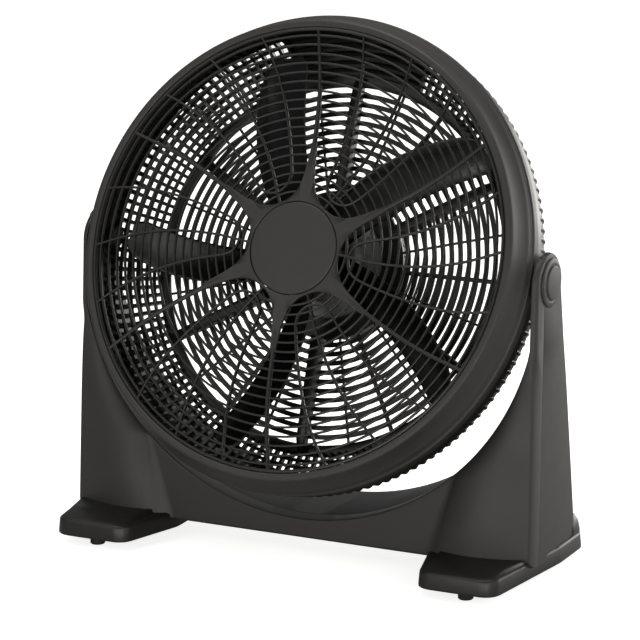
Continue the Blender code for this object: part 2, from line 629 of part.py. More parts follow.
def pivot_hardware(looks, shells):
    for side, word in ((1, "right"), (-1, "left")):
        turn = (0, 0, -side * math.pi / 2)
        place = (0, PIVOT_Y, STAND_HEIGHT)
        bore = rod(BOLT_RADIUS + GAP, ARM_INNER - 0.01, ARM_OUTER + 0.01, 16)
        tool = as_tool(object_of(f"bolt_bore_{word}", bore, None, None, place, turn))
        for shell in shells:
            combine(shell, tool, "DIFFERENCE")
        bolt = rod(BOLT_RADIUS, RIM_RADIUS - 0.012, ARM_OUTER, 16)
        object_of(f"pivot_bolt_{word}", bolt, looks["zinc"], None, place, turn)
        washer = tube(BOLT_RADIUS + GAP, WASHER_RADIUS, RIM_RADIUS + 2 * GAP, ARM_INNER - GAP, 20)
        object_of(f"friction_washer_{word}", washer, looks["nylon"], None, place, turn)
        face = ARM_OUTER + GAP
        cap = [(0, face), (CAP_RADIUS, face), (CAP_RADIUS - 0.0015, face + 0.0022),
               (CAP_RADIUS - 0.008, face + 0.0030), (CAP_RADIUS - 0.009, face + 0.0042), (0, face + 0.0046)]
        object_of(f"pivot_cap_{word}", turned(cap, 28), looks["shell"], None, place, turn)


def foot_outline(side, inset, toe_only=False):
    front = PIVOT_Y - STAND_FRONT_TO_AXIS + inset
    rear = PIVOT_Y - STAND_FRONT_TO_AXIS + FOOT_LENGTH - inset
    inner = FOOT_OUTER - FOOT_WIDTH + inset
    outer = FOOT_OUTER - inset
    toe = inner + FOOT_TOE_INSET
    if toe_only:
        rear = front_y(PANEL_CLEARANCE) - LEG_BULGE - GAP * 4 - inset * 0.2
        corners = [(toe - 0.007, rear, 0.003), (toe, front, 0.018),
                   (outer - 0.017, front, 0.018), (outer - 0.008, rear, 0.003)]
    else:
        corners = [(inner + 0.004, rear, 0.010), (inner, front + 0.085, 0.040), (toe, front, 0.018),
                   (outer - 0.017, front, 0.018), (outer, front + 0.150, 0.060),
                   (outer, rear, FOOT_HEEL_RADIUS)]
    return [(side * p.x, p.y) for p in rounded_outline(corners, 3)]


def foot_plate(word, side, look):
    levels = [(FOOT_PLATE_BOTTOM, 0.002), (FOOT_PLATE_BOTTOM + 0.002, 0.0), (FOOT_PLATE_TOP - 0.001, 0.0),
              (FOOT_PLATE_TOP, 0.001)]
    loops = [[Vector((x, y, z)) for x, y in foot_outline(side, inset)] for z, inset in levels]
    plate = object_of(f"foot_plate_{word}", loft(bmesh.new(), loops), look)
    toe_levels = [(FOOT_PLATE_TOP - 0.004, 0.003), (FOOT_PLATE_TOP + 0.002, 0.003), (TOE_HEIGHT, 0.011)]
    loops = [[Vector((x, y, z)) for x, y in foot_outline(side, inset, True)]
             for z, inset in toe_levels]
    combine(plate, as_tool(object_of(f"toe_{word}", loft(bmesh.new(), loops), None)), "UNION")
    return plate


def rubber_feet(look):
    front = PIVOT_Y - STAND_FRONT_TO_AXIS
    places = (("front", front + RUBBER_INSETS[0]), ("rear", front + FOOT_LENGTH - RUBBER_INSETS[1]))
    top = FOOT_PLATE_BOTTOM - GAP
    profile = [(0, 0), (RUBBER_RADIUS - 0.001, 0), (RUBBER_RADIUS, 0.001), (RUBBER_RADIUS, top), (0, top)]
    for side, word in ((1, "right"), (-1, "left")):
        for place, y in places:
            spot = (side * RUBBER_X, y, 0)
            object_of(f"rubber_foot_{place}_{word}", turned(profile, 20), look, None, spot,
                      (math.pi / 2, 0, 0))


def shell_screws(look, rear_shell):
    """Screws through the rear shell of each leg, into the front shell."""
    turn = (math.atan(ARM_REAR_SLOPE), 0, 0)
    for side, word in ((1, "right"), (-1, "left")):
        for place, x, z in (("low", 0.215, 0.050), ("high", 0.262, 0.150)):
            spot = (side * x, rear_y(z), z)
            bore = object_of(f"screw_bore_{place}_{word}", rod(0.0024, -0.008, 0.004, 10), None, None,
                             spot, turn)
            combine(rear_shell, as_tool(bore), "DIFFERENCE")
            profile = [(0, -0.012), (0.0020, -0.012), (0.0020, GAP), (0.0042, GAP), (0.0036, 0.0022),
                       (0, 0.0026)]
            object_of(f"stand_screw_{place}_{word}", turned(profile, 10), look, None, spot, turn)


def build():
    clear_scene()
    looks = {
        "shell": material("charcoal_plastic", (0.040, 0.040, 0.038), 0.5),
        "foot": material("foot_plastic", (0.030, 0.030, 0.029), 0.5),
        "guard": material("guard_plastic", (0.034, 0.034, 0.032), 0.45),
        "blade": material("blade_plastic", (0.020, 0.020, 0.021), 0.3),
        "rubber": material("rubber", (0.012, 0.012, 0.012), 0.8),
        "nylon": material("nylon", (0.060, 0.060, 0.058), 0.5),
        "zinc": material("zinc_plated_steel", (0.55, 0.55, 0.53), 0.35, 1.0),
        "cast": material("cast_aluminium", (0.50, 0.50, 0.50), 0.5, 1.0),
        "steel": material("lamination_steel", (0.28, 0.28, 0.29), 0.45, 1.0),
        "shaft": material("ground_steel", (0.62, 0.62, 0.62), 0.2, 1.0),
        "copper": material("copper_winding", (0.60, 0.26, 0.12), 0.4, 1.0),
        "bronze": material("sintered_bronze", (0.42, 0.29, 0.14), 0.45, 1.0),
    }
    head = bpy.data.objects.new("head_axis", None)
    rotor = bpy.data.objects.new("rotor_axis", None)
    for empty in (head, rotor):
        bpy.context.scene.collection.objects.link(empty)
    head.location = PIVOT
    head.rotation_euler = (-TILT, 0, 0)
    rotor.parent = head

    front_grille(looks["guard"], head)
    hub_plate(looks["shell"], head)
    bezel_ring(looks["shell"], head)
    rear_housing(looks["guard"], head)
    motor(looks, head, rotor)
    motor_cover(looks, head)
    speed_knob(looks["shell"], head)
    blade_wheel(looks, rotor)

    front_shell = stand_shell("stand_front_shell", looks["shell"], True)
    rear_shell = stand_shell("stand_rear_shell", looks["shell"], False)
    pivot_hardware(looks, (front_shell, rear_shell))
    shell_screws(looks["zinc"], rear_shell)
    for side, word in ((1, "right"), (-1, "left")):
        foot_plate(word, side, looks["foot"])
    rubber_feet(looks["rubber"])


build()
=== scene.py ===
# Looks for a floor fan: a round tilting head between the arms of a U-shaped stand.
import json
import math

import bmesh
import bpy
from mathutils import Matrix, Vector


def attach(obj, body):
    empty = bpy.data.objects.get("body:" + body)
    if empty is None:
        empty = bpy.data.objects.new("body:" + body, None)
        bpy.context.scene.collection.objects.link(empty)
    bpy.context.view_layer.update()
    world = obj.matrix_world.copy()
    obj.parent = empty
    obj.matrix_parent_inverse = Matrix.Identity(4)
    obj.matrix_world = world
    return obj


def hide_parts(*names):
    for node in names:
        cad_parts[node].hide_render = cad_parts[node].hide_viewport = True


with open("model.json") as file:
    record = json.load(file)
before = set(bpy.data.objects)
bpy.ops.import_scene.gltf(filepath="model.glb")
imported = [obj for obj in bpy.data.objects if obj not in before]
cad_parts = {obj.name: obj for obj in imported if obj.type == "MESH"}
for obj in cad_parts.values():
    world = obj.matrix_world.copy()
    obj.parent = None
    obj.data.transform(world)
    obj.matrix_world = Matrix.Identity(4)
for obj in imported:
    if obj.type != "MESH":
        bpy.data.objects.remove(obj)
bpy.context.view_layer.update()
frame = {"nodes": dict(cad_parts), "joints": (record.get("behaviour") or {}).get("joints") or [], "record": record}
joints = {joint["name"]: joint for joint in frame["joints"]}
pivot = Vector(joints["head_tilt"]["pos_m"])
fanAxis = Vector(joints["blade_spin"]["axis"]).normalized()   # out of the front of the head
pivotDepth = 0.0645    # the tilt axis lies this far behind the guard's face

# the head's own axes: x right, y back along the fan's axis, z up the face of the guard
headBack = -fanAxis
headUp = Vector((1, 0, 0)).cross(headBack)
headAxes = Matrix((Vector((1, 0, 0)), headBack, headUp)).transposed()
headMatrix = Matrix.Translation(pivot) @ headAxes.to_4x4()


# small helpers

def linearColour(hexText):
    values = [int(hexText[i:i + 2], 16) / 255 for i in (1, 3, 5)]
    return tuple(v / 12.92 if v <= 0.04045 else ((v + 0.055) / 1.055) ** 2.4
                 for v in values) + (1.0,)


def addNode(tree, kind, settings=None, values=None, links=None):
    node = tree.nodes.new(kind)
    for key, value in (settings or {}).items():
        setattr(node, key, value)
    for key, value in (values or {}).items():
        node.inputs[key].default_value = value
    for key, source in (links or {}).items():
        tree.links.new(source, node.inputs[key])
    return node


def newObject(name, bm, material, sharpAngle=32):
    bmesh.ops.recalc_face_normals(bm, faces=bm.faces)
    mesh = bpy.data.meshes.new(name)
    bm.to_mesh(mesh)
    bm.free()
    mesh.shade_smooth()
    mesh.set_sharp_from_angle(angle=math.radians(sharpAngle))
    obj = bpy.data.objects.new(name, mesh)
    bpy.context.scene.collection.objects.link(obj)
    mesh.materials.append(material)
    return obj


def joinInto(name, objects, material):
    bm = bmesh.new()
    for obj in objects:
        bm.from_mesh(obj.data)
        bpy.data.objects.remove(obj)
    mesh = bpy.data.meshes.new(name)
    bm.to_mesh(mesh)
    bm.free()
    joined = bpy.data.objects.new(name, mesh)
    bpy.context.scene.collection.objects.link(joined)
    mesh.materials.append(material)
    for polygon in mesh.polygons:
        polygon.material_index = 0
    return joined


def settle(obj, body, replaced=(), matrix=None):
    if matrix is not None:
        obj.data.transform(matrix)
    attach(obj, body)
    if replaced:
        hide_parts(*replaced)


def addTurned(bm, profile, segments):
    # a body of revolution about y from (radius, y) points; a point on the axis is a pole
    rings = []
    for radius, y in profile:
        if radius == 0:
            rings.append([bm.verts.new((0, y, 0))])
            continue
        turns = [2 * math.pi * i / segments for i in range(segments)]
        rings.append([bm.verts.new((radius * math.sin(a), y, radius * math.cos(a))) for a in turns])
    for near, far in zip(rings, rings[1:] + rings[:1]):
        if len(near) == len(far) == 1:
            continue
        for i in range(segments):
            j = (i + 1) % segments
            corners = (near[i % len(near)], near[j % len(near)], far[j % len(far)],
                       far[i % len(far)])
            bm.faces.new(list(dict.fromkeys(corners)))


def addLoft(bm, loops):
    rows = [[bm.verts.new(point) for point in loop] for loop in loops]
    count = len(rows[0])
    for near, far in zip(rows, rows[1:]):
        for i in range(count):
            j = (i + 1) % count
            bm.faces.new((near[i], near[j], far[j], far[i]))
    bm.faces.new(rows[0])
    bm.faces.new(rows[-1][::-1])


def yFor(depth):
    return depth - pivotDepth


def addTurnedDepths(bm, profile, segments):
    # the same in the head, from (radius, depth behind the guard's face) points
    addTurned(bm, [(radius, yFor(depth)) for radius, depth in profile], segments)


def polarPoint(radius, degrees, depth):
    # degrees run clockwise from the top, seen from the front
    angle = math.radians(degrees)
    return Vector((radius * math.sin(angle), yFor(depth), radius * math.cos(angle)))


def smoothPath(points, steps):
    # a Catmull-Rom curve through the points
    ends = [points[0] * 2 - points[1]] + list(points) + [points[-1] * 2 - points[-2]]
    path = []
    for a, b, c, d in zip(ends, ends[1:], ends[2:], ends[3:]):
        for k in range(steps):
            t = k / steps
            path.append(0.5 * (2 * b + (c - a) * t + (2 * a - 5 * b + 4 * c - d) * t ** 2
                               + (3 * b - a - 3 * c + d) * t ** 3))
    path.append(points[-1])
    return path


def roundBar(bm, path, widths, thicknesses, flatSide=None, soft=0.4):
    # a bar with a softened front: flatSide is its sideways direction, else it lies in the guard
    loops = []
    for i, here in enumerate(path):
        run = (path[min(i + 1, len(path) - 1)] - path[max(i - 1, 0)]).normalized()
        if flatSide is None:
            inward = Vector((0, 1, 0))
            side = run.cross(inward).normalized()
        else:
            side = flatSide
            inward = run.cross(side).normalized()
        share = i / (len(path) - 1)
        width = widths[0] + (widths[1] - widths[0]) * share
        thick = thicknesses[0] + (thicknesses[1] - thicknesses[0]) * share
        edge = soft * min(width, thick)
        outline = [(-width / 2, edge), (-width / 2 + 0.3 * edge, 0.3 * edge),
                   (-width / 2 + edge, 0), (width / 2 - edge, 0),
                   (width / 2 - 0.3 * edge, 0.3 * edge), (width / 2, edge),
                   (width / 2 - 0.1 * width, thick), (-width / 2 + 0.1 * width, thick)]
        loops.append([here + side * across + inward * deep for across, deep in outline])
    addLoft(bm, loops)


# one tree turns a single piece into a ring of copies about the fan's axis
def buildPolarTree():
    tree = bpy.data.node_groups.new("ring of copies", "GeometryNodeTree")
    sockets = (("Piece", "NodeSocketGeometry"), ("Count", "NodeSocketInt"),
               ("Step", "NodeSocketFloat"), ("Start", "NodeSocketFloat"),
               ("Finish", "NodeSocketMaterial"))
    for label, kind in sockets:
        tree.interface.new_socket(label, in_out="INPUT", socket_type=kind)
    tree.interface.new_socket("Copies", in_out="OUTPUT", socket_type="NodeSocketGeometry")
    given = addNode(tree, "NodeGroupInput").outputs
    index = addNode(tree, "GeometryNodeInputIndex").outputs[0]
    turned = addNode(tree, "ShaderNodeMath", {"operation": "MULTIPLY_ADD"},
                     links={0: index, 1: given["Step"], 2: given["Start"]}).outputs[0]
    spin = addNode(tree, "ShaderNodeCombineXYZ", links={"Y": turned}).outputs[0]
    points = addNode(tree, "GeometryNodePoints", links={"Count": given["Count"]}).outputs[0]
    copies = addNode(tree, "GeometryNodeInstanceOnPoints",
                     links={"Points": points, "Instance": given["Piece"],
                            "Rotation": spin}).outputs[0]
    real = addNode(tree, "GeometryNodeRealizeInstances", links={"Geometry": copies}).outputs[0]
    finished = addNode(tree, "GeometryNodeSetMaterial",
                       links={"Geometry": real, "Material": given["Finish"]}).outputs[0]
    addNode(tree, "NodeGroupOutput", links={0: finished})
    return tree


polarTree = buildPolarTree()


def ringOfCopies(obj, count, stepDegrees, startDegrees, material):
    modifier = obj.modifiers.new("ring of copies", "NODES")
    modifier.node_group = polarTree
    wanted = {"Count": count, "Step": math.radians(stepDegrees),
              "Start": math.radians(startDegrees), "Finish": material}
    for item in polarTree.interface.items_tree:
        if item.in_out == "INPUT" and item.name in wanted:
            modifier[item.identifier] = wanted[item.name]
    bpy.context.view_layer.update()
    evaluated = obj.evaluated_get(bpy.context.evaluated_depsgraph_get())
    mesh = bpy.data.meshes.new_from_object(evaluated)
    obj.modifiers.clear()
    obj.data = mesh
    return obj


def fullRing(obj, count, material, startDegrees=0):
    return ringOfCopies(obj, count, 360 / count, startDegrees, material)


# camera, floor and light

cameraSet = {"azimuth": 26.08, "elevation": 13.53, "lens": 187.0, "sensor": 36, "clipEnd": 50,
             "place": (1.58796, -3.22280, 1.13048)}
camera = bpy.data.objects.new("camera", bpy.data.cameras.new("camera"))
bpy.context.scene.collection.objects.link(camera)
camera.data.lens = cameraSet["lens"]
camera.data.sensor_width = cameraSet["sensor"]
camera.location = cameraSet["place"]
camera.rotation_euler = (math.radians(90 - cameraSet["elevation"]), 0,
                         math.radians(cameraSet["azimuth"]))
camera.data.clip_end = cameraSet["clipEnd"]
bpy.context.scene.camera = camera
bpy.context.scene.view_settings.view_transform = "Standard"

lampColour = (1.0, 0.985, 0.955)
lampAim = Vector((0, 0, 0.3))    # the middle of the fan
lightSet = {
    "softbox right": {"place": (3.0, -0.9, 1.1), "size": (3.4, 2.8), "power": 34},
    "softbox top": {"place": (-0.2, 0.1, 2.7), "size": (2.6, 2.0), "power": 46},
    "softbox left front": {"place": (-1.5, -2.8, 1.6), "size": (1.8, 1.8), "power": 15},
    "softbox behind": {"place": (1.5, 2.6, 0.5), "size": (3.0, 1.4), "power": 62},
    "softbox right front": {"place": (1.7, -2.4, 0.1), "size": (1.4, 0.7), "power": 26},
    "low strip": {"place": (0.1, -1.9, 0.12), "size": (1.2, 0.3), "power": 8},
}
for name, facts in lightSet.items():
    lamp = bpy.data.lights.new(name, "AREA")
    lamp.shape = "RECTANGLE"
    lamp.size, lamp.size_y = facts["size"]
    lamp.energy = facts["power"]
    lamp.color = lampColour
    lampObject = bpy.data.objects.new(name, lamp)
    lampObject.location = facts["place"]
    aim = lampAim - Vector(facts["place"])
    lampObject.rotation_euler = aim.to_track_quat("-Z", "Y").to_euler()
    bpy.context.scene.collection.objects.link(lampObject)

# the white cove is seen as white, and gives the parts only a dim, even fill
studio = {"seen": 1.0, "fill": 0.24, "floorSeen": "#f4f4f2", "floorFill": "#c8c8c6",
          "floorGlow": 0.8, "floorRoughness": 0.9, "floorSpecular": 0.1, "floorReach": 9,
          "floorThickness": 0.01}
world = bpy.data.worlds.new("white studio")
bpy.context.scene.world = world
world.use_nodes = True
worldShade = world.node_tree.nodes["Background"]
worldShade.inputs["Color"].default_value = (1, 1, 1, 1)
seen = addNode(world.node_tree, "ShaderNodeLightPath").outputs["Is Camera Ray"]
fill = addNode(world.node_tree, "ShaderNodeMix", values={"A": studio["fill"], "B": studio["seen"]},
               links={"Factor": seen}).outputs[0]
world.node_tree.links.new(fill, worldShade.inputs["Strength"])
print("stage: camera and lights")


# materials

# what every plastic shares: tone patches 60 mm across, a grain that shifts the tone by 7 percent
plasticGrain = {"toneSize": 0.06, "toneDetail": 3.0, "grainDetail": 2.0, "speck": (0.93, 1.07),
                "sheenSpread": 0.05, "bump": 0.6, "coatRoughness": 0.12}


def plasticMaterial(name, colourHex, secondHex, roughness, grain, grainDepth, coat=0.0, ior=1.49):
    # moulded plastic: a slow drift of tone, a fine eroded-mould grain and a slightly uneven sheen
    material = bpy.data.materials.new(name)
    material.use_nodes = True
    tree = material.node_tree
    shader = tree.nodes["Principled BSDF"]
    shader.inputs["IOR"].default_value = ior
    shader.inputs["Coat Weight"].default_value = coat
    shader.inputs["Coat Roughness"].default_value = plasticGrain["coatRoughness"]
    place = addNode(tree, "ShaderNodeTexCoord").outputs["Object"]
    drift = addNode(tree, "ShaderNodeTexNoise",
                    values={"Scale": 1 / plasticGrain["toneSize"],
                            "Detail": plasticGrain["toneDetail"], "Roughness": 0.55},
                    links={"Vector": place}).outputs["Fac"]
    tone = addNode(tree, "ShaderNodeMix", {"data_type": "RGBA"},
                   {6: linearColour(colourHex), 7: linearColour(secondHex)}, {0: drift}).outputs[2]
    fine = addNode(tree, "ShaderNodeTexNoise",
                   values={"Scale": 1 / grain, "Detail": plasticGrain["grainDetail"],
                           "Roughness": 0.6},
                   links={"Vector": place}).outputs["Fac"]
    dark, pale = plasticGrain["speck"]
    speck = addNode(tree, "ShaderNodeMapRange",
                    values={"From Min": 0.35, "From Max": 0.7, "To Min": dark, "To Max": pale},
                    links={"Value": fine}).outputs[0]
    colour = addNode(tree, "ShaderNodeVectorMath", {"operation": "SCALE"},
                     links={"Vector": tone, "Scale": speck}).outputs[0]
    spread = plasticGrain["sheenSpread"]
    sheen = addNode(tree, "ShaderNodeMapRange",
                    values={"From Min": 0.3, "From Max": 0.7,
                            "To Min": roughness - spread, "To Max": roughness + spread},
                    links={"Value": drift}).outputs[0]
    bump = addNode(tree, "ShaderNodeBump",
                   values={"Strength": plasticGrain["bump"], "Distance": grainDepth},
                   links={"Height": fine}).outputs[0]
    tree.links.new(colour, shader.inputs["Base Color"])
    tree.links.new(sheen, shader.inputs["Roughness"])
    tree.links.new(bump, shader.inputs["Normal"])
    return material


metalGrain = {"detail": 4.0, "polishSpread": 0.08, "bump": 0.4}


def metalMaterial(name, colourHex, secondHex, roughness, streak, streakDepth, stretch=(1, 1, 1)):
    # bare metal: the streaks or grain of how it was made, over an uneven polish
    material = bpy.data.materials.new(name)
    material.use_nodes = True
    tree = material.node_tree
    shader = tree.nodes["Principled BSDF"]
    shader.inputs["Metallic"].default_value = 1.0
    place = addNode(tree, "ShaderNodeTexCoord").outputs["Object"]
    stretched = addNode(tree, "ShaderNodeMapping", values={"Scale": stretch},
                        links={"Vector": place}).outputs[0]
    fine = addNode(tree, "ShaderNodeTexNoise", values={"Scale": 1 / streak,
                                                       "Detail": metalGrain["detail"]},
                   links={"Vector": stretched}).outputs["Fac"]
    tone = addNode(tree, "ShaderNodeMix", {"data_type": "RGBA"},
                   {6: linearColour(colourHex), 7: linearColour(secondHex)}, {0: fine}).outputs[2]
    spread = metalGrain["polishSpread"]
    polish = addNode(tree, "ShaderNodeMapRange",
                     values={"To Min": roughness - spread, "To Max": roughness + spread},
                     links={"Value": fine}).outputs[0]
    bump = addNode(tree, "ShaderNodeBump", values={"Strength": metalGrain["bump"],
                                                   "Distance": streakDepth},
                   links={"Height": fine}).outputs[0]
    tree.links.new(tone, shader.inputs["Base Color"])
    tree.links.new(polish, shader.inputs["Roughness"])
    tree.links.new(bump, shader.inputs["Normal"])
    return material


finishes = {
    # ABS, moulded with a fine eroded grain: soft broad highlights
    # its grain is drawn at 0.9 mm, coarser than the real 0.3 mm, so that it shows
    "charcoal_plastic": plasticMaterial(
        "charcoal grained ABS", "#222120", "#272625", 0.52, 0.0009, 0.00008),
    # the same ABS, a little smoother under the stand; its colour is a little darker as painted shade, for the
    # shade down by the floor
    "foot_plastic": plasticMaterial(
        "satin ABS darkened for painted shade", "#181716", "#1c1b1a", 0.40, 0.0009, 0.00004, 0.0, 1.42),
    # polypropylene guards: a slightly waxy sheen on thin bars
    "guard_plastic": plasticMaterial(
        "black satin polypropylene", "#141312", "#181716", 0.34, 0.0012, 0.00003, 0.0, 1.45),
    # blades in polished-mould AS resin: sharp, glossy reflections
    "blade_plastic": plasticMaterial(
        "gloss black AS resin", "#090909", "#0c0c0c", 0.20, 0.0020, 0.00001, 0.2, 1.36),
    # nitrile rubber: dull, slightly dusty
    "rubber": plasticMaterial("black nitrile rubber", "#191919", "#222221", 0.78, 0.0007, 0.00005),
    # natural nylon, greyed
    "nylon": plasticMaterial("grey nylon", "#46453f", "#4d4c46", 0.5, 0.0010, 0.00003),
    # bright zinc plate on steel screws: bluish, cloudy
    "zinc_plated_steel": metalMaterial(
        "bright zinc plate", "#b9bcc0", "#a5a9ae", 0.34, 0.0015, 0.00001),
    # die-cast aluminium, as cast: pale, matt and granular
    "cast_aluminium": metalMaterial(
        "die cast aluminium", "#a9aaab", "#97989a", 0.5, 0.0010, 0.00004),
    # stacked electrical steel: fine edges one sheet apart, 0.5 mm
    "lamination_steel": metalMaterial(
        "stacked lamination steel", "#7d8086", "#5f6268", 0.45, 0.0005, 0.00003, (0.1, 1, 0.1)),
    # centreless-ground shaft steel
    "ground_steel": metalMaterial(
        "ground shaft steel", "#c4c6c8", "#b2b4b7", 0.2, 0.0006, 0.000005),
    # enamelled copper wire under varnish
    "copper_winding": metalMaterial(
        "varnished copper wire", "#b5673a", "#8f4b27", 0.4, 0.0008, 0.00008),
    # oil-filled sintered bronze: matt and porous
    "sintered_bronze": metalMaterial(
        "sintered bronze", "#9c7b45", "#84673a", 0.48, 0.0006, 0.00004),
}


def floorMaterial():
    # matt painted cove: pale to the eye, darker where the parts mirror it
    material = bpy.data.materials.new("matt cove paint")
    material.use_nodes = True
    tree = material.node_tree
    shader = tree.nodes["Principled BSDF"]
    shader.inputs["Roughness"].default_value = studio["floorRoughness"]
    shader.inputs["Specular IOR Level"].default_value = studio["floorSpecular"]
    seen = addNode(tree, "ShaderNodeLightPath").outputs["Is Camera Ray"]
    colour = addNode(tree, "ShaderNodeMix", {"data_type": "RGBA"},
                     {6: linearColour(studio["floorFill"]), 7: linearColour(studio["floorSeen"])},
                     {0: seen}).outputs[2]
    glow = addNode(tree, "ShaderNodeMath", {"operation": "MULTIPLY"}, {1: studio["floorGlow"]},
                   {0: seen}).outputs[0]
    tree.links.new(colour, shader.inputs["Base Color"])
    shader.inputs["Emission Color"].default_value = (1, 1, 1, 1)
    tree.links.new(glow, shader.inputs["Emission Strength"])
    return material


floorMesh = bmesh.new()
reach = studio["floorReach"]
floorCorners = ((-reach, -reach), (reach, -reach), (reach, reach), (-reach, reach))
addLoft(floorMesh, [[Vector((x, y, z)) for x, y in floorCorners]
                    for z in (-studio["floorThickness"], 0)])
floor = newObject("floor", floorMesh, floorMaterial())
print("stage: floor and materials")


# front guard: rings, curved spokes, looping thin spokes and the star web round the hub

guard = {"radius": 0.2475, "rings": 18, "firstRing": 0.2385, "ringPitch": 0.0103, "wire": 0.0026,
         "wireFront": 0.0010, "wireDepth": 0.0036, "hubRadius": 0.0515, "sectors": 6, "facets": 144,
         "rimWidth": 0.0040, "rimFront": 0.0003, "rimBack": 0.0042,
         "spokeFront": 0.0004, "spokeDepth": 0.0046,
         "mainWidth": (0.0038, 0.0056), "thinWidth": (0.0027, 0.0027),
         # the web's arms turn by so many degrees, less further out
         "twist": 3.9, "untwist": 1.2, "twistFrom": 0.056, "twistOver": 0.055}
# one side of a web arm, from the hollow between two arms out to the spoke: sideways, outwards
webEdge = ((0.0278, 0.0481), (0.0225, 0.0512), (0.0180, 0.0549), (0.0136, 0.0605), (0.0100, 0.0672),
           (0.0072, 0.0766), (0.0053, 0.0878), (0.0040, 0.1020), (0.0030, 0.1150))
webEdgeRound = ((0.0, 0.0042), (0.0, 0.0022), (0.0003, 0.0014), (0.0009, 0.0009),
                (0.0018, 0.0007))    # inset, depth
webHubRound = ((0.0013, 0.0007), (0.0007, 0.0011), (0.0007, 0.0042))    # gap round the hub, depth
# the spokes of one sector: radius, degrees
mainSpoke = ((0.2445, -2.9), (0.23, -2.3), (0.20, -0.8), (0.17, 0.5), (0.14, 1.5), (0.11, 2.5),
             (0.092, 3.2))
loopSpoke = ((0.2445, 10.2), (0.225, 11.9), (0.20, 14.0), (0.175, 15.9), (0.15, 17.5), (0.12, 19.0),
             (0.09, 19.8), (0.0775, 21.5), (0.0705, 26.0), (0.0675, 34.0), (0.0705, 42.0),
             (0.0775, 46.6), (0.09, 48.4), (0.12, 48.0), (0.15, 47.0), (0.175, 45.9), (0.20, 44.5),
             (0.225, 42.6), (0.2445, 40.9))
middleSpoke = ((0.2445, 25.5), (0.225, 27.0), (0.20, 29.0), (0.175, 30.8), (0.15, 32.3),
               (0.125, 33.4), (0.10, 34.0), (0.085, 33.9), (0.07, 33.0), (0.054, 32.0))


def guardRing(bm, radius, width, front, back):
    soft = width * 0.42
    low, high = radius - width / 2, radius + width / 2
    outline = [(low, front + soft), (low + 0.3 * soft, front + 0.3 * soft), (low + soft, front),
               (high - soft, front), (high - 0.3 * soft, front + 0.3 * soft), (high, front + soft),
               (high - 0.1 * width, back), (low + 0.1 * width, back)]
    addTurnedDepths(bm, outline, guard["facets"])


def starWeb(bm):
    # the arm's side is mirrored and repeated into one closed outline
    points = smoothPath([Vector((x, along, 0)) for x, along in webEdge], 4)
    outline = []
    for arm in range(guard["sectors"]):
        turn = math.radians(arm * 360 / guard["sectors"])
        for x, along in [(-p.x, p.y) for p in points] + [(p.x, p.y) for p in points[::-1][:-1]]:
            radius, angle = math.hypot(x, along), math.atan2(x, along)
            beyond = max(0, radius - guard["twistFrom"])
            twist = math.radians(guard["twist"] - guard["untwist"] * beyond / guard["twistOver"])
            outline.append((radius, turn + angle + twist))
    loops = [[(r - shrink, a, depth) for r, a in outline] for shrink, depth in webEdgeRound]
    loops += [[(guard["hubRadius"] + gap, a, depth) for r, a in outline]
              for gap, depth in webHubRound]
    rows = [[bm.verts.new((r * math.sin(a), yFor(d), r * math.cos(a))) for r, a, d in loop]
            for loop in loops]
    count = len(outline)
    for near, far in zip(rows, rows[1:] + rows[:1]):
        for i in range(count):
            bm.faces.new((near[i], near[(i + 1) % count], far[(i + 1) % count], far[i]))


def buildFrontGuard():
    finish = finishes["guard_plastic"]
    rings = bmesh.new()
    for k in range(guard["rings"]):
        radius = guard["firstRing"] - k * guard["ringPitch"]
        guardRing(rings, radius, guard["wire"], guard["wireFront"],
                  guard["wireFront"] + guard["wireDepth"])
    rimMiddle = guard["radius"] - guard["rimWidth"] / 2
    guardRing(rings, rimMiddle, guard["rimWidth"], guard["rimFront"], guard["rimBack"])
    starWeb(rings)
    pieces = [newObject("guard rings", rings, finish)]
    for name, path, width in (("main spoke", mainSpoke, "mainWidth"),
                              ("loop spoke", loopSpoke, "thinWidth"),
                              ("middle spoke", middleSpoke, "thinWidth")):
        bars = bmesh.new()
        points = smoothPath([polarPoint(r, a, guard["spokeFront"]) for r, a in path], 5)
        roundBar(bars, points, guard[width], (guard["spokeDepth"], guard["spokeDepth"]))
        pieces.append(fullRing(newObject(name, bars, finish), guard["sectors"], finish))
    grille = joinInto("frontGuard", pieces, finish)
    settle(grille, "head", ("front_grille",), headMatrix)
    disc = bmesh.new()
    hub = guard["hubRadius"]
    profile = [(0, 0.0001), (hub * 0.55, 0.0001), (hub - 0.0024, 0.0001), (hub - 0.0010, 0.0003),
               (hub - 0.0003, 0.0008), (hub, 0.0014), (hub, 0.0030), (0, 0.0030)]
    addTurnedDepths(disc, profile, guard["facets"])
    settle(newObject("hubDisc", disc, finishes["charcoal_plastic"], 50), "head",
           ("hub_plate",), headMatrix)
    print("guard:", len(grille.data.polygons), "faces")


buildFrontGuard()


# the ring round the guard: a rolled lip, a hollow band, a double bead and a side wall

bezel = {"lip": 0.2478, "rim": 0.2690, "depth": 0.050, "facets": 192}


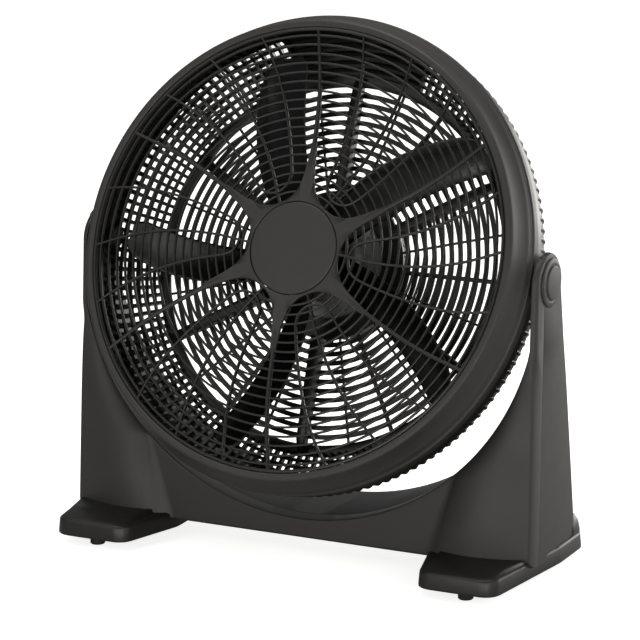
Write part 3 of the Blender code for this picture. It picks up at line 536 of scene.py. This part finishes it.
def buildBezel():
    lip, rim = bezel["lip"], bezel["rim"]
    outer = [(lip, 0.0030), (lip, 0.0014), (lip + 0.0006, 0.0006), (lip + 0.0016, 0.0002),
             (lip + 0.0030, 0.0), (lip + 0.0052, 0.0), (lip + 0.0068, 0.0002),
             (lip + 0.0078, 0.0007), (lip + 0.0085, 0.0015), (lip + 0.0090, 0.0028),
             (lip + 0.0096, 0.0052), (lip + 0.0104, 0.0085), (lip + 0.0116, 0.0125),
             (lip + 0.0131, 0.0165), (lip + 0.0149, 0.0205), (lip + 0.0168, 0.0240),
             (lip + 0.0186, 0.0268), (rim - 0.0026, 0.0287), (rim - 0.0020, 0.0296),
             (rim - 0.0014, 0.0304), (rim - 0.0014, 0.0311), (rim - 0.0028, 0.0318),
             (rim - 0.0026, 0.0330), (rim - 0.0008, 0.0337), (rim, 0.0348), (rim, 0.0370),
             (rim - 0.0006, 0.0382), (rim - 0.0028, 0.0392), (rim - 0.0028, 0.0402),
             (rim - 0.0014, 0.0410), (rim - 0.0014, 0.0490), (rim - 0.0018, 0.0498),
             (rim - 0.0026, bezel["depth"])]
    inner = [(rim - 0.0040, bezel["depth"]), (rim - 0.0040, 0.0335), (lip + 0.0162, 0.0290),
             (lip + 0.0113, 0.0180), (lip + 0.0074, 0.0070), (lip + 0.0052, 0.0045), (lip, 0.0045)]
    bm = bmesh.new()
    addTurnedDepths(bm, outer + inner, bezel["facets"])
    settle(newObject("bezelRing", bm, finishes["charcoal_plastic"], 40), "head",
           ("bezel_ring",), headMatrix)


buildBezel()


# rear housing: a rim, fine ribs over a sloping shoulder, a ringed flat back and the carrying panel

cage = {"rimOuter": 0.2668, "rimInner": 0.2613, "rimFront": 0.0503, "rimBack": 0.062,
        "rimFacets": 192, "ribs": 144, "handleRibs": 16, "handleHalfAngle": 20, "panelSteps": 28,
        "ribWidth": (0.0050, 0.0040), "ribDepth": 0.0076, "beadWidth": 0.0080, "beadDepth": 0.0050,
        "shoulder": 0.215, "back": 0.1135, "ringFacets": 144,
        "backRings": 11, "firstRing": 0.1948, "ringPitch": 0.0104, "ringWidth": 0.0056,
        "plate": 0.085, "bore": 0.049, "plateFacets": 96,
        "arms": 6, "armDepth": 0.022, "armRoot": 0.0120, "armTip": 0.0095,
        "thinRibs": ((15, 0.0028), (30, 0.0052), (45, 0.0028)),    # degrees, width
        "thinDepth": 0.0036, "bossFacets": 48}
slope = ((0.2664, 0.0560), (0.2664, 0.0640), (0.2655, 0.0715), (0.2630, 0.0800), (0.2585, 0.0875),
         (0.2515, 0.0935), (0.2430, 0.0980), (0.2330, 0.1024), (0.2230, 0.1065), (0.2150, 0.1092))
slopeRings = ((0.2575, 0.0868, 0.0020), (0.2492, 0.0929, 0.0031), (0.2402, 0.0974, 0.0029),
              (0.2310, 0.1012, 0.0020), (0.2232, 0.1046, 0.0020))    # radius, depth, half width
slopeBand = ((0.2640, 0.0600), (0.2650, 0.0600), (0.2648, 0.0700), (0.2638, 0.0755),
             (0.2618, 0.0800), (0.2608, 0.0795), (0.2625, 0.0750), (0.2636, 0.0700))
beadPath = ((0.2650, 0.0545), (0.2660, 0.0600), (0.2664, 0.0680), (0.2656, 0.0760),
            (0.2632, 0.0835), (0.2590, 0.0895), (0.2540, 0.0932))


def buildRearHousing():
    finish = finishes["guard_plastic"]
    bm = bmesh.new()
    rim = [(cage["rimInner"], cage["rimFront"]), (cage["rimOuter"] - 0.0006, cage["rimFront"]),
           (cage["rimOuter"], cage["rimFront"] + 0.0008),
           (cage["rimOuter"], cage["rimBack"] - 0.001),
           (cage["rimOuter"] - 0.0008, cage["rimBack"]),
           (cage["rimInner"] + 0.0006, cage["rimBack"]),
           (cage["rimInner"], cage["rimBack"] - 0.0008)]
    addTurnedDepths(bm, rim, cage["rimFacets"])
    addTurnedDepths(bm, slopeBand, cage["rimFacets"])
    for radius, depth, half in slopeRings:
        ring = [(radius - half, depth), (radius, depth - half), (radius + half, depth),
                (radius + half, depth + 0.002), (radius, depth + 0.003),
                (radius - half, depth + 0.002)]
        addTurnedDepths(bm, ring, cage["ringFacets"])
    back = cage["back"]
    shoulder = cage["shoulder"]
    thick = [(shoulder - 0.0110, back - 0.0040), (shoulder - 0.0095, back - 0.0052),
             (shoulder - 0.0030, back - 0.0060), (shoulder + 0.0012, back - 0.0060),
             (shoulder + 0.0026, back - 0.0048), (shoulder + 0.0026, back - 0.0008),
             (shoulder + 0.0016, back), (shoulder - 0.0016, back),
             (shoulder - 0.0030, back - 0.0012), (shoulder - 0.0100, back - 0.0012),
             (shoulder - 0.0110, back - 0.0020)]
    addTurnedDepths(bm, thick, cage["ringFacets"])
    for k in range(cage["backRings"]):
        radius = cage["firstRing"] - k * cage["ringPitch"]
        half = cage["ringWidth"] / 2
        ring = [(radius - half, back - 0.0030), (radius - half + 0.0006, back - 0.0036),
                (radius + half - 0.0006, back - 0.0036), (radius + half, back - 0.0030),
                (radius + half - 0.0003, back - 0.0006), (radius - half + 0.0003, back - 0.0006)]
        addTurnedDepths(bm, ring, cage["ringFacets"])
    plate = cage["plate"]
    disc = [(cage["bore"], back - 0.0043), (plate - 0.001, back - 0.0043), (plate, back - 0.0035),
            (plate, back - 0.0009), (cage["bore"], back - 0.0009)]
    addTurnedDepths(bm, disc, cage["plateFacets"])
    rounds = newObject("cage rings", bm, finish)

    sideways = Vector((1, 0, 0))
    ribs = bmesh.new()
    points = smoothPath([polarPoint(r, 0, d) for r, d in slope], 2)
    roundBar(ribs, points, cage["ribWidth"], (cage["ribDepth"], cage["ribDepth"]), sideways, 0.42)
    step = 360 / cage["ribs"]
    ribCount = cage["ribs"] - cage["handleRibs"] + 1    # none behind the carrying panel
    ribs = ringOfCopies(newObject("slope ribs", ribs, finish, 50), ribCount, step,
                        cage["handleHalfAngle"], finish)
    beads = bmesh.new()
    points = smoothPath([polarPoint(r, 0, d) for r, d in beadPath], 2)
    roundBar(beads, points, (cage["beadWidth"], cage["ribWidth"][0]),
             (cage["beadDepth"], cage["beadDepth"]), sideways, 0.6)
    beads = ringOfCopies(newObject("rim beads", beads, finish, 60), ribCount, step,
                         cage["handleHalfAngle"], finish)

    arms = bmesh.new()
    front = back - cage["armDepth"]
    roundBar(arms, [polarPoint(plate - 0.002, 0, front), polarPoint(0.15, 0, front + 0.001),
                    polarPoint(0.200, 0, front + 0.003),
                    polarPoint(shoulder - 0.001, 0, front + 0.010)],
             (cage["armRoot"], cage["armTip"]),
             (cage["armDepth"] - 0.0006, cage["armDepth"] - 0.0106), soft=0.2)
    arms = fullRing(newObject("back arms", arms, finish), cage["arms"], finish)
    thin = bmesh.new()
    for turn, width in cage["thinRibs"]:
        roundBar(thin, [polarPoint(plate - 0.002, turn, back - 0.0040),
                        polarPoint(shoulder, turn, back - 0.0042)],
                 (width, width), (cage["thinDepth"], cage["thinDepth"]))
    thin = fullRing(newObject("back ribs", thin, finish), cage["arms"], finish)

    panel = bmesh.new()
    loops = []
    steps = cage["panelSteps"]
    for k in range(steps + 1):
        angle = cage["handleHalfAngle"] * (2 * k / steps - 1)
        front = [polarPoint(r - 0.0006, angle, d + 0.0004) for r, d in slope[1:]]
        rear = [polarPoint(r + 0.0002, angle, d + 0.0028) for r, d in slope[1:]]
        loops.append(front + rear[::-1])
    addLoft(panel, loops)
    panel = newObject("carrying panel", panel, finish, 40)

    bosses = []
    for side in (-1, 1):
        boss = bmesh.new()
        addTurned(boss, [(0.0053, 0.2530), (0.0120, 0.2530), (0.0138, 0.2545), (0.0138, 0.2685),
                         (0.0132, 0.2693), (0.0053, 0.2693)], cage["bossFacets"])
        bossObject = newObject("boss", boss, finish)
        bossObject.data.transform(Matrix.Rotation(-side * math.pi / 2, 4, "Z"))
        bosses.append(bossObject)
    housing = joinInto("rearHousing", [rounds, ribs, beads, arms, thin, panel] + bosses, finish)
    settle(housing, "head", ("rear_housing",), headMatrix)
    print("rear housing:", len(housing.data.polygons), "faces")


buildRearHousing()


# blade wheel

blades = {"count": 5, "hubRadius": 0.038, "tipRadius": 0.230, "midDepth": 0.052,
          "thickness": 0.0028, "camber": 0.05,
          "rootChord": 0.044, "midChord": 0.057, "tipChord": 0.046, "widest": 0.55,
          "tipRoundFrom": 0.92, "tipRoundCut": 0.30,    # a share of the length, of the chord
          "rootPitch": 40, "tipPitch": 24, "sweep": 17, "first": 38,    # degrees
          "rows": 30, "columns": 17, "hubFront": 0.029, "hubBack": 0.0735, "hubFacets": 96}


def bladeChord(share):
    widest = blades["widest"]
    if share < widest:
        growth = blades["midChord"] - blades["rootChord"]
        return blades["rootChord"] + growth * math.sin(math.pi / 2 * share / widest)
    taper = blades["tipChord"] - blades["midChord"]
    chord = blades["midChord"] + taper * ((share - widest) / (1 - widest)) ** 2
    rounding = (share - blades["tipRoundFrom"]) / 0.08    # over the last 8 percent
    if rounding > 0:
        chord *= 1 - blades["tipRoundCut"] * rounding ** 2
    return chord


def buildBlades():
    finish = finishes["blade_plastic"]
    root, tip = blades["hubRadius"] - 0.002, blades["tipRadius"]
    rows, columns = blades["rows"], blades["columns"]
    loops = []
    for i in range(rows):
        share = 1 - (1 - i / (rows - 1)) ** 1.3    # closer rows towards the tip
        radius = root + (tip - root) * share
        chord = bladeChord(share)
        untwist = blades["tipPitch"] - blades["rootPitch"]
        pitch = math.radians(blades["rootPitch"] + untwist * share)
        front, back = [], []
        for j in range(columns):
            across = math.sin(math.pi / 2 * (2 * j / (columns - 1) - 1))
            along = across * chord / 2
            middle = blades["first"] + blades["sweep"] * share ** 1.2
            angle = middle + math.degrees(along * math.cos(pitch) / radius)
            hollow = blades["camber"] * chord * (1 - across ** 2)
            depth = blades["midDepth"] + along * math.sin(pitch) + hollow
            thin = blades["thickness"] * max(0.06, math.sqrt(max(0, 1 - across ** 4)))
            front.append(polarPoint(radius, angle, depth - thin / 2))
            back.append(polarPoint(radius, angle, depth + thin / 2))
        loops.append(front + back[::-1])
    bm = bmesh.new()
    addLoft(bm, loops)
    blade = newObject("blade", bm, finish, 55)
    ring = fullRing(blade, blades["count"], finish)
    hub = bmesh.new()
    r, start, end = blades["hubRadius"], blades["hubFront"], blades["hubBack"]
    profile = [(0.0043, start), (r - 0.0125, start), (r - 0.0085, start + 0.0006),
               (r - 0.0050, start + 0.0022), (r - 0.0022, start + 0.0052),
               (r - 0.0006, start + 0.0090), (r, start + 0.0130), (r, end - 0.0006),
               (r - 0.0006, end), (r - 0.0025, end), (r - 0.0025, start + 0.0130),
               (r - 0.0110, start + 0.0025), (0.0093, start + 0.0025), (0.0093, start + 0.030),
               (0.0043, start + 0.030)]
    addTurnedDepths(hub, profile, blades["hubFacets"])
    wheel = joinInto("bladeWheel", [newObject("wheel hub", hub, finish), ring], finish)
    settle(wheel, "rotor", ("blade_wheel",), headMatrix)
    nut = bmesh.new()
    addTurnedDepths(nut, [(0, 0.0170), (0.0040, 0.0171), (0.0065, 0.0176), (0.0086, 0.0190),
                          (0.0102, 0.0216), (0.0112, 0.0250), (0.0118, 0.0287), (0, 0.0287)], 48)
    nut = newObject("wheel nut", nut, finishes["nylon"])
    wing = bmesh.new()
    roundBar(wing, [polarPoint(0.0080, 0, 0.0200), polarPoint(0.0122, 0, 0.0240)],
             (0.0024, 0.0024), (0.004, 0.0045))
    wing = fullRing(newObject("nut wing", wing, finishes["nylon"]), 6, finishes["nylon"])
    settle(joinInto("bladeNut", [nut, wing], finishes["nylon"]), "rotor", ("blade_nut",),
           headMatrix)


buildBlades()
print("stage: head")


# stand: two hollow mouldings that meet at a seam round the U

stand = {"height": pivot.z, "floor": 0.024, "armInner": 0.2728, "armThickness": 0.0070,
         "topRise": 0.0325, "frontReach": 0.037, "rearReach": 0.033, "frontSlope": 0.046,
         "rearSlope": 0.150, "flare": 0.009, "arcRadius": 0.2795, "arcDrop": 0.0077,
         "panelAngle": 43, "cornerAngle": 60, "seamDepth": 0.022, "gap": 0.0003, "wall": 0.0022,
         "bulge": 0.0155, "bulgePeak": 0.78, "bulgeFrom": 0.07, "bulgeOver": 0.22,
         "creaseBottom": 0.160, "creaseLean": 0.32, "edge": 0.0165, "rearEdge": 0.006,
         "panelEdge": 0.0035, "nip": 0.0025, "lipCut": 0.0006, "armSteps": 24, "cornerSteps": 18,
         "floorSteps": 24, "faceSteps": 24}


def lower(z):
    return max(0, stand["height"] - z)


def frontY(z):
    return pivot.y - stand["frontReach"] - stand["frontSlope"] * lower(z)


def rearY(z):
    return pivot.y + stand["rearReach"] + stand["rearSlope"] * lower(z)


def outerX(z):
    return stand["armInner"] + stand["armThickness"] + stand["flare"] * lower(z)


def creaseX(z):
    centre = stand["height"] - stand["arcDrop"]
    onArc = math.sqrt(max(0, stand["arcRadius"] ** 2 - (centre - z) ** 2))
    return max(onArc, stand["creaseBottom"] + stand["creaseLean"] * (z - stand["floor"]))


def bulgeAt(x, z):
    share = (abs(x) - creaseX(z)) / (outerX(z) - creaseX(z))
    if not 0 < share < 1:
        return 0
    swell = min(1, max(0, (lower(z) - stand["bulgeFrom"]) / stand["bulgeOver"]))
    swell = swell * swell * (3 - 2 * swell)
    return stand["bulge"] * swell * math.sin(math.pi * share ** stand["bulgePeak"])


def standStations(topAngles):
    # cuts across the U: over the arm's top, down the arm, round the corner and in to the middle
    made = []
    armOuter = stand["armInner"] + stand["armThickness"]
    for degrees in topAngles:
        z = stand["height"] + stand["topRise"] * math.sin(math.radians(degrees))
        inner, outer = Vector((stand["armInner"], z)), Vector((armOuter, z))
        made.append((inner, outer, math.radians(degrees), 1.0))
    centre = Vector((0, stand["height"] - stand["arcDrop"]))
    top = math.degrees(math.asin(stand["armInner"] / stand["arcRadius"]))
    corner, crease, floorZ = stand["cornerAngle"], stand["panelAngle"], stand["floor"]
    sideTop = centre.y - stand["arcRadius"] * math.cos(math.radians(top))
    cornerX = outerX(floorZ)
    arm, bend, low = stand["armSteps"], stand["cornerSteps"], stand["floorSteps"]
    angles = ([top - k * (top - corner) / arm for k in range(arm + 1)]
              + [corner - k * (corner - crease) / bend for k in range(1, bend + 1)]
              + [crease - k * crease / low for k in range(1, low + 1)])
    for degrees in angles:
        angle = math.radians(degrees)
        inner = centre + stand["arcRadius"] * Vector((math.sin(angle), -math.cos(angle)))
        if degrees >= corner:
            z = sideTop + (floorZ - sideTop) * (top - degrees) / (top - corner)
            outer = Vector((outerX(z), z))
            soft = 1.0
        elif degrees >= crease:
            share = (corner - degrees) / (corner - crease)
            outer = Vector((cornerX + (stand["creaseBottom"] - cornerX) * share, floorZ))
            soft = max(0, 1 - share * 3)
        else:
            outer = Vector((stand["creaseBottom"] * degrees / crease, floorZ))
            soft = 0.0
        made.append((inner, outer, 0, soft))
    return made


def standSection(inner, outer, topAngle, softShare, front):
    # one closed outline across a shell: the seam, the rounded edge, the face, and back inside
    run = (outer - inner).normalized()
    width = (outer - inner).length
    sign = 1 if front else -1
    fall = 1 - math.cos(topAngle)

    def face(p):
        if front:
            return frontY(p.y) + stand["frontReach"] * fall - bulgeAt(p.x, p.y)
        return rearY(p.y) - stand["rearReach"] * fall

    def seam(p):
        middle = frontY(p.y) + stand["seamDepth"]
        if front:
            return middle - stand["gap"] / 2
        return max(middle + stand["gap"] / 2, pivot.y - stand["frontReach"] * math.cos(topAngle))

    deep = abs(seam(outer) - face(outer))
    fullEdge = stand["edge" if front else "rearEdge"]
    edge = stand["panelEdge"] + (fullEdge - stand["panelEdge"]) * softShare
    soft = min(edge, 0.85 * width, 0.8 * deep)
    nip = min(stand["nip"], 0.5 * (width - soft), 0.15 * deep)
    lipCut = min(stand["lipCut"], 0.2 * deep)
    points = []

    def add(along, yOf):
        place = inner + run * along
        points.append(Vector((place.x, yOf(place), place.y)))

    add(width - lipCut, seam)
    add(width, lambda p: seam(p) - sign * lipCut)
    for k in range(10):
        t = math.radians(10 * k)
        add(width - soft * (1 - math.cos(t)),
            lambda p, t=t: face(p) + sign * soft * (1 - math.sin(t)))
    for k in range(1, stand["faceSteps"] + 1):
        add((width - soft) + (nip + soft - width) * k / stand["faceSteps"], face)
    for k in range(1, 4):
        t = math.radians(30 * k)
        add(nip * (1 - math.sin(t)), lambda p, t=t: face(p) + sign * nip * (1 - math.cos(t)))
    add(0, lambda p: seam(p) - sign * lipCut)
    add(lipCut, seam)
    wall = min(stand["wall"], 0.4 * width)
    add(wall, seam)
    solidTop = topAngle > math.radians(30)    # too thin there to be hollow
    for along in (wall + 0.0001, width / 2, width - wall - 0.0001):
        if solidTop:
            add(along, lambda p: seam(p) - sign * 0.0004)
        else:
            add(along, lambda p: face(p) + sign * min(wall + soft, 0.8 * deep))
    add(width - wall, seam)
    return points


def buildStand():
    finish = finishes["charcoal_plastic"]
    for name, node, front, topStart in (("standFront", "stand_front_shell", True, 64),
                                        ("standRear", "stand_rear_shell", False, 88)):
        tops = range(topStart, -1, -4)    # degrees round the arm's top
        right = [standSection(*station, front) for station in standStations(tops)]
        left = [[Vector((-p.x, p.y, p.z)) for p in loop] for loop in right[:-1]]
        bm = bmesh.new()
        addLoft(bm, right + left[::-1])
        shell = newObject(name, bm, finish, 42)
        settle(shell, "base", (node,))
        print(name, len(shell.data.polygons), "faces")


buildStand()


# feet: a plate with a domed toe in front of the leg and a raised heel behind it

feet = {"outer": 0.287, "width": 0.130, "front": pivot.y - 0.1257, "length": 0.230,
        "toeInset": 0.024, "bottom": 0.012}


def roundedOutline(corners, steps=6):
    points = []
    for i, (x, y, radius) in enumerate(corners):
        here = Vector((x, y))
        before = Vector(corners[i - 1][:2]) - here
        after = Vector(corners[(i + 1) % len(corners)][:2]) - here
        half = before.angle(after) / 2
        reach = radius / math.tan(half)
        middle = (before.normalized() + after.normalized()).normalized()
        centre = here + middle * radius / math.sin(half)
        start = here + before.normalized() * reach - centre
        end = here + after.normalized() * reach - centre
        sweep = start.angle_signed(end)
        for k in range(steps + 1):
            points.append(centre + Matrix.Rotation(-sweep * k / steps, 2) @ start)
    return points


def footOutline(inset, part):
    front = feet["front"] + inset
    rear = feet["front"] + feet["length"] - inset
    outer = feet["outer"] - inset
    inner = feet["outer"] - feet["width"] + inset
    toe = inner + feet["toeInset"]
    if part == "plate":
        corners = [(inner + 0.004, rear, 0.010), (inner, front + 0.085, 0.040), (toe, front, 0.018),
                   (outer - 0.017, front, 0.018), (outer, front + 0.150, 0.060),
                   (outer, rear, 0.022)]
    elif part == "toe":
        end = frontY(feet["bottom"]) - stand["bulge"] + 0.040
        narrow = min(inset, 0.0050) - inset
        corners = [(toe + narrow - 0.012, end, 0.002), (toe + narrow, front, 0.017),
                   (outer - narrow - 0.017, front, 0.017), (outer - narrow - 0.0010, end, 0.002)]
    else:
        start = rearY(feet["bottom"]) - 0.012 + inset * 0.1
        corners = [(inner + 0.010, rear, 0.009), (inner + 0.010, start, 0.002),
                   (outer - 0.002, start, 0.002), (outer, rear, 0.020)]
    return roundedOutline(corners)


def buildFeet():
    # the feet wear the ABS whose colour is darkened as painted shade
    finish = finishes["foot_plastic"]
    # height above the floor, and how far the outline draws in there
    plateLevels = ((0.0120, 0.0014), (0.0122, 0.0006), (0.0128, 0.0001), (0.0150, 0.0),
                   (0.0280, 0.0009), (0.0296, 0.0014), (0.0307, 0.0025), (0.0313, 0.0039),
                   (0.0317, 0.0060))
    toeLevels = ((0.0306, 0.0030), (0.0316, 0.0044), (0.0326, 0.0092), (0.0336, 0.0150),
                 (0.0345, 0.0205), (0.0352, 0.0265), (0.0357, 0.0325))
    heelLevels = ((0.0200, 0.0004), (0.0350, 0.0012), (0.0440, 0.0028), (0.0495, 0.0052),
                  (0.0530, 0.0080), (0.0545, 0.0105))
    for side, word in ((1, "right"), (-1, "left")):
        bm = bmesh.new()
        for part, levels in (("plate", plateLevels), ("toe", toeLevels), ("heel", heelLevels)):
            addLoft(bm, [[Vector((side * p.x, p.y, z)) for p in footOutline(inset, part)]
                         for z, inset in levels])
        foot = newObject("footPlate_" + word, bm, finish, 42)
        settle(foot, "base", ("foot_plate_" + word,))


buildFeet()


# the caps over the pivots, with a raised disc

def buildCaps():
    finish = finishes["charcoal_plastic"]
    face = stand["armInner"] + stand["armThickness"] + stand["gap"]
    for side, word in ((1, "right"), (-1, "left")):
        bm = bmesh.new()
        profile = [(0, face), (0.0270, face), (0.0270, face + 0.0008), (0.0264, face + 0.0016),
                   (0.0250, face + 0.0022), (0.0225, face + 0.0026), (0.0201, face + 0.0027),
                   (0.0197, face + 0.0024), (0.0193, face + 0.0027), (0.0190, face + 0.0036),
                   (0.0183, face + 0.0043), (0.0170, face + 0.0046), (0, face + 0.0046)]
        addTurned(bm, profile, 96)
        cap = newObject("pivotCap_" + word, bm, finish, 50)
        cap.data.transform(Matrix.Translation(pivot) @ Matrix.Rotation(-side * math.pi / 2, 4, "Z"))
        settle(cap, "base", ("pivot_cap_" + word,))


buildCaps()
print("stage: stand")


# the back: motor cover with louvres, dial marks and the speed knob

cover = {"rim": 0.083, "front": 0.1138, "back": 0.150, "facets": 128, "louvres": 40,
         "knobDrop": 0.045, "knobRadius": 0.017, "knobLength": 0.014, "knobFacets": 64,
         "flutes": 32, "marks": 4, "firstMark": -67.5, "markStep": 45}    # degrees round the dial


def buildBack():
    finish = finishes["charcoal_plastic"]
    rim, front, back = cover["rim"], cover["front"], cover["back"]
    bm = bmesh.new()
    profile = [(rim, front), (rim, front + 0.004), (rim - 0.0006, front + 0.006),
               (rim - 0.0010, front + 0.012), (rim - 0.0020, back - 0.0190),
               (rim - 0.0034, back - 0.0130), (rim - 0.0060, back - 0.0080),
               (rim - 0.0100, back - 0.0040), (rim - 0.0150, back - 0.0015),
               (rim - 0.0210, back - 0.0004), (rim - 0.0300, back), (0, back), (0, back - 0.0025),
               (rim - 0.0220, back - 0.0029), (rim - 0.0120, back - 0.0080),
               (rim - 0.0055, back - 0.0190), (rim - 0.0030, front)]
    addTurnedDepths(bm, profile, cover["facets"])
    shell = newObject("cover shell", bm, finish, 40)
    louvre = bmesh.new()
    points = [polarPoint(rim - 0.0004, 0, front + 0.006),
              polarPoint(rim - 0.0010, 0, back - 0.0200),
              polarPoint(rim - 0.0036, 0, back - 0.0115),
              polarPoint(rim - 0.0092, 0, back - 0.0042),
              polarPoint(rim - 0.0170, 0, back - 0.0006),
              polarPoint(rim - 0.0200, 0, back - 0.0002)]
    roundBar(louvre, smoothPath([p + Vector((0, 0.0004, 0.0006)) for p in points], 3),
             (0.0030, 0.0022), (0.0020, 0.0014), Vector((1, 0, 0)), 0.4)
    louvres = fullRing(newObject("cover ribs", louvre, finish), cover["louvres"], finish,
                       180 / cover["louvres"])
    marks = bmesh.new()
    centre = Vector((0, yFor(back), -cover["knobDrop"]))
    for k in range(cover["marks"]):
        angle = math.radians(cover["firstMark"] + cover["markStep"] * k)
        along = Vector((math.sin(angle), 0, math.cos(angle)))
        roundBar(marks, [centre + along * 0.0185 - Vector((0, 0.0002, 0)),
                         centre + along * (0.0215 + 0.0008 * k) - Vector((0, 0.0002, 0))],
                 (0.0016, 0.0016), (0.0007, 0.0007))
    marks = newObject("dial marks", marks, finish)
    joined = joinInto("motorCover", [shell, louvres, marks], finish)
    settle(joined, "head", ("motor_cover",), headMatrix)

    r, length = cover["knobRadius"], cover["knobLength"]
    knob = bmesh.new()
    addTurned(knob, [(0, 0), (r - 0.0006, 0), (r, 0.0006), (r - 0.0004, 0.0040),
                     (r - 0.0016, 0.0058), (r - 0.0040, 0.0068), (0, 0.0070)], cover["knobFacets"])
    dial = newObject("knob base", knob, finish, 40)
    flute = bmesh.new()
    roundBar(flute, [Vector((0, 0.0006, r - 0.0002)), Vector((0, 0.0042, r - 0.0005))],
             (0.0012, 0.0010), (0.0010, 0.0008), Vector((1, 0, 0)), 0.4)
    flutes = fullRing(newObject("knob flutes", flute, finish), cover["flutes"], finish)
    grip = bmesh.new()
    levels = ((0.0040, 0.0050, 0.0000), (0.0085, 0.0044, 0.0002), (0.0120, 0.0040, 0.0006),
              (0.0134, 0.0034, 0.0014), (length, 0.0024, 0.0026))
    loops = []
    for y, half, inset in levels:
        reach = r - 0.0035 - inset
        corners = [(-half, -reach, half * 0.9), (half, -reach, half * 0.9),
                   (half * 0.7, reach, half * 0.5), (-half * 0.7, reach, half * 0.5)]
        loops.append([Vector((p.x, y, p.y)) for p in roundedOutline(corners, 5)])
    addLoft(grip, loops)
    grip = newObject("knob grip", grip, finish, 40)
    stem = bmesh.new()
    addTurned(stem, [(0, -0.0031), (0.0035, -0.0031), (0.0035, 0.002), (0, 0.002)], 32)
    whole = joinInto("speedKnob", [dial, flutes, grip, newObject("stem", stem, finish)], finish)
    place = headMatrix @ Matrix.Translation((0, yFor(back + 0.0006), -cover["knobDrop"]))
    settle(whole, "knob", ("speed_knob",), place)


buildBack()
print("stage: motor cover and knob")


# every CAD node that still shows gets the finish of its slot
slotOf = {part["node"]: part["material_slot"] for part in frame["record"]["subparts"]}
for name, node in frame["nodes"].items():
    node.data.materials.clear()
    node.data.materials.append(finishes[slotOf[name]])
print("stage: finishes on the carried nodes")
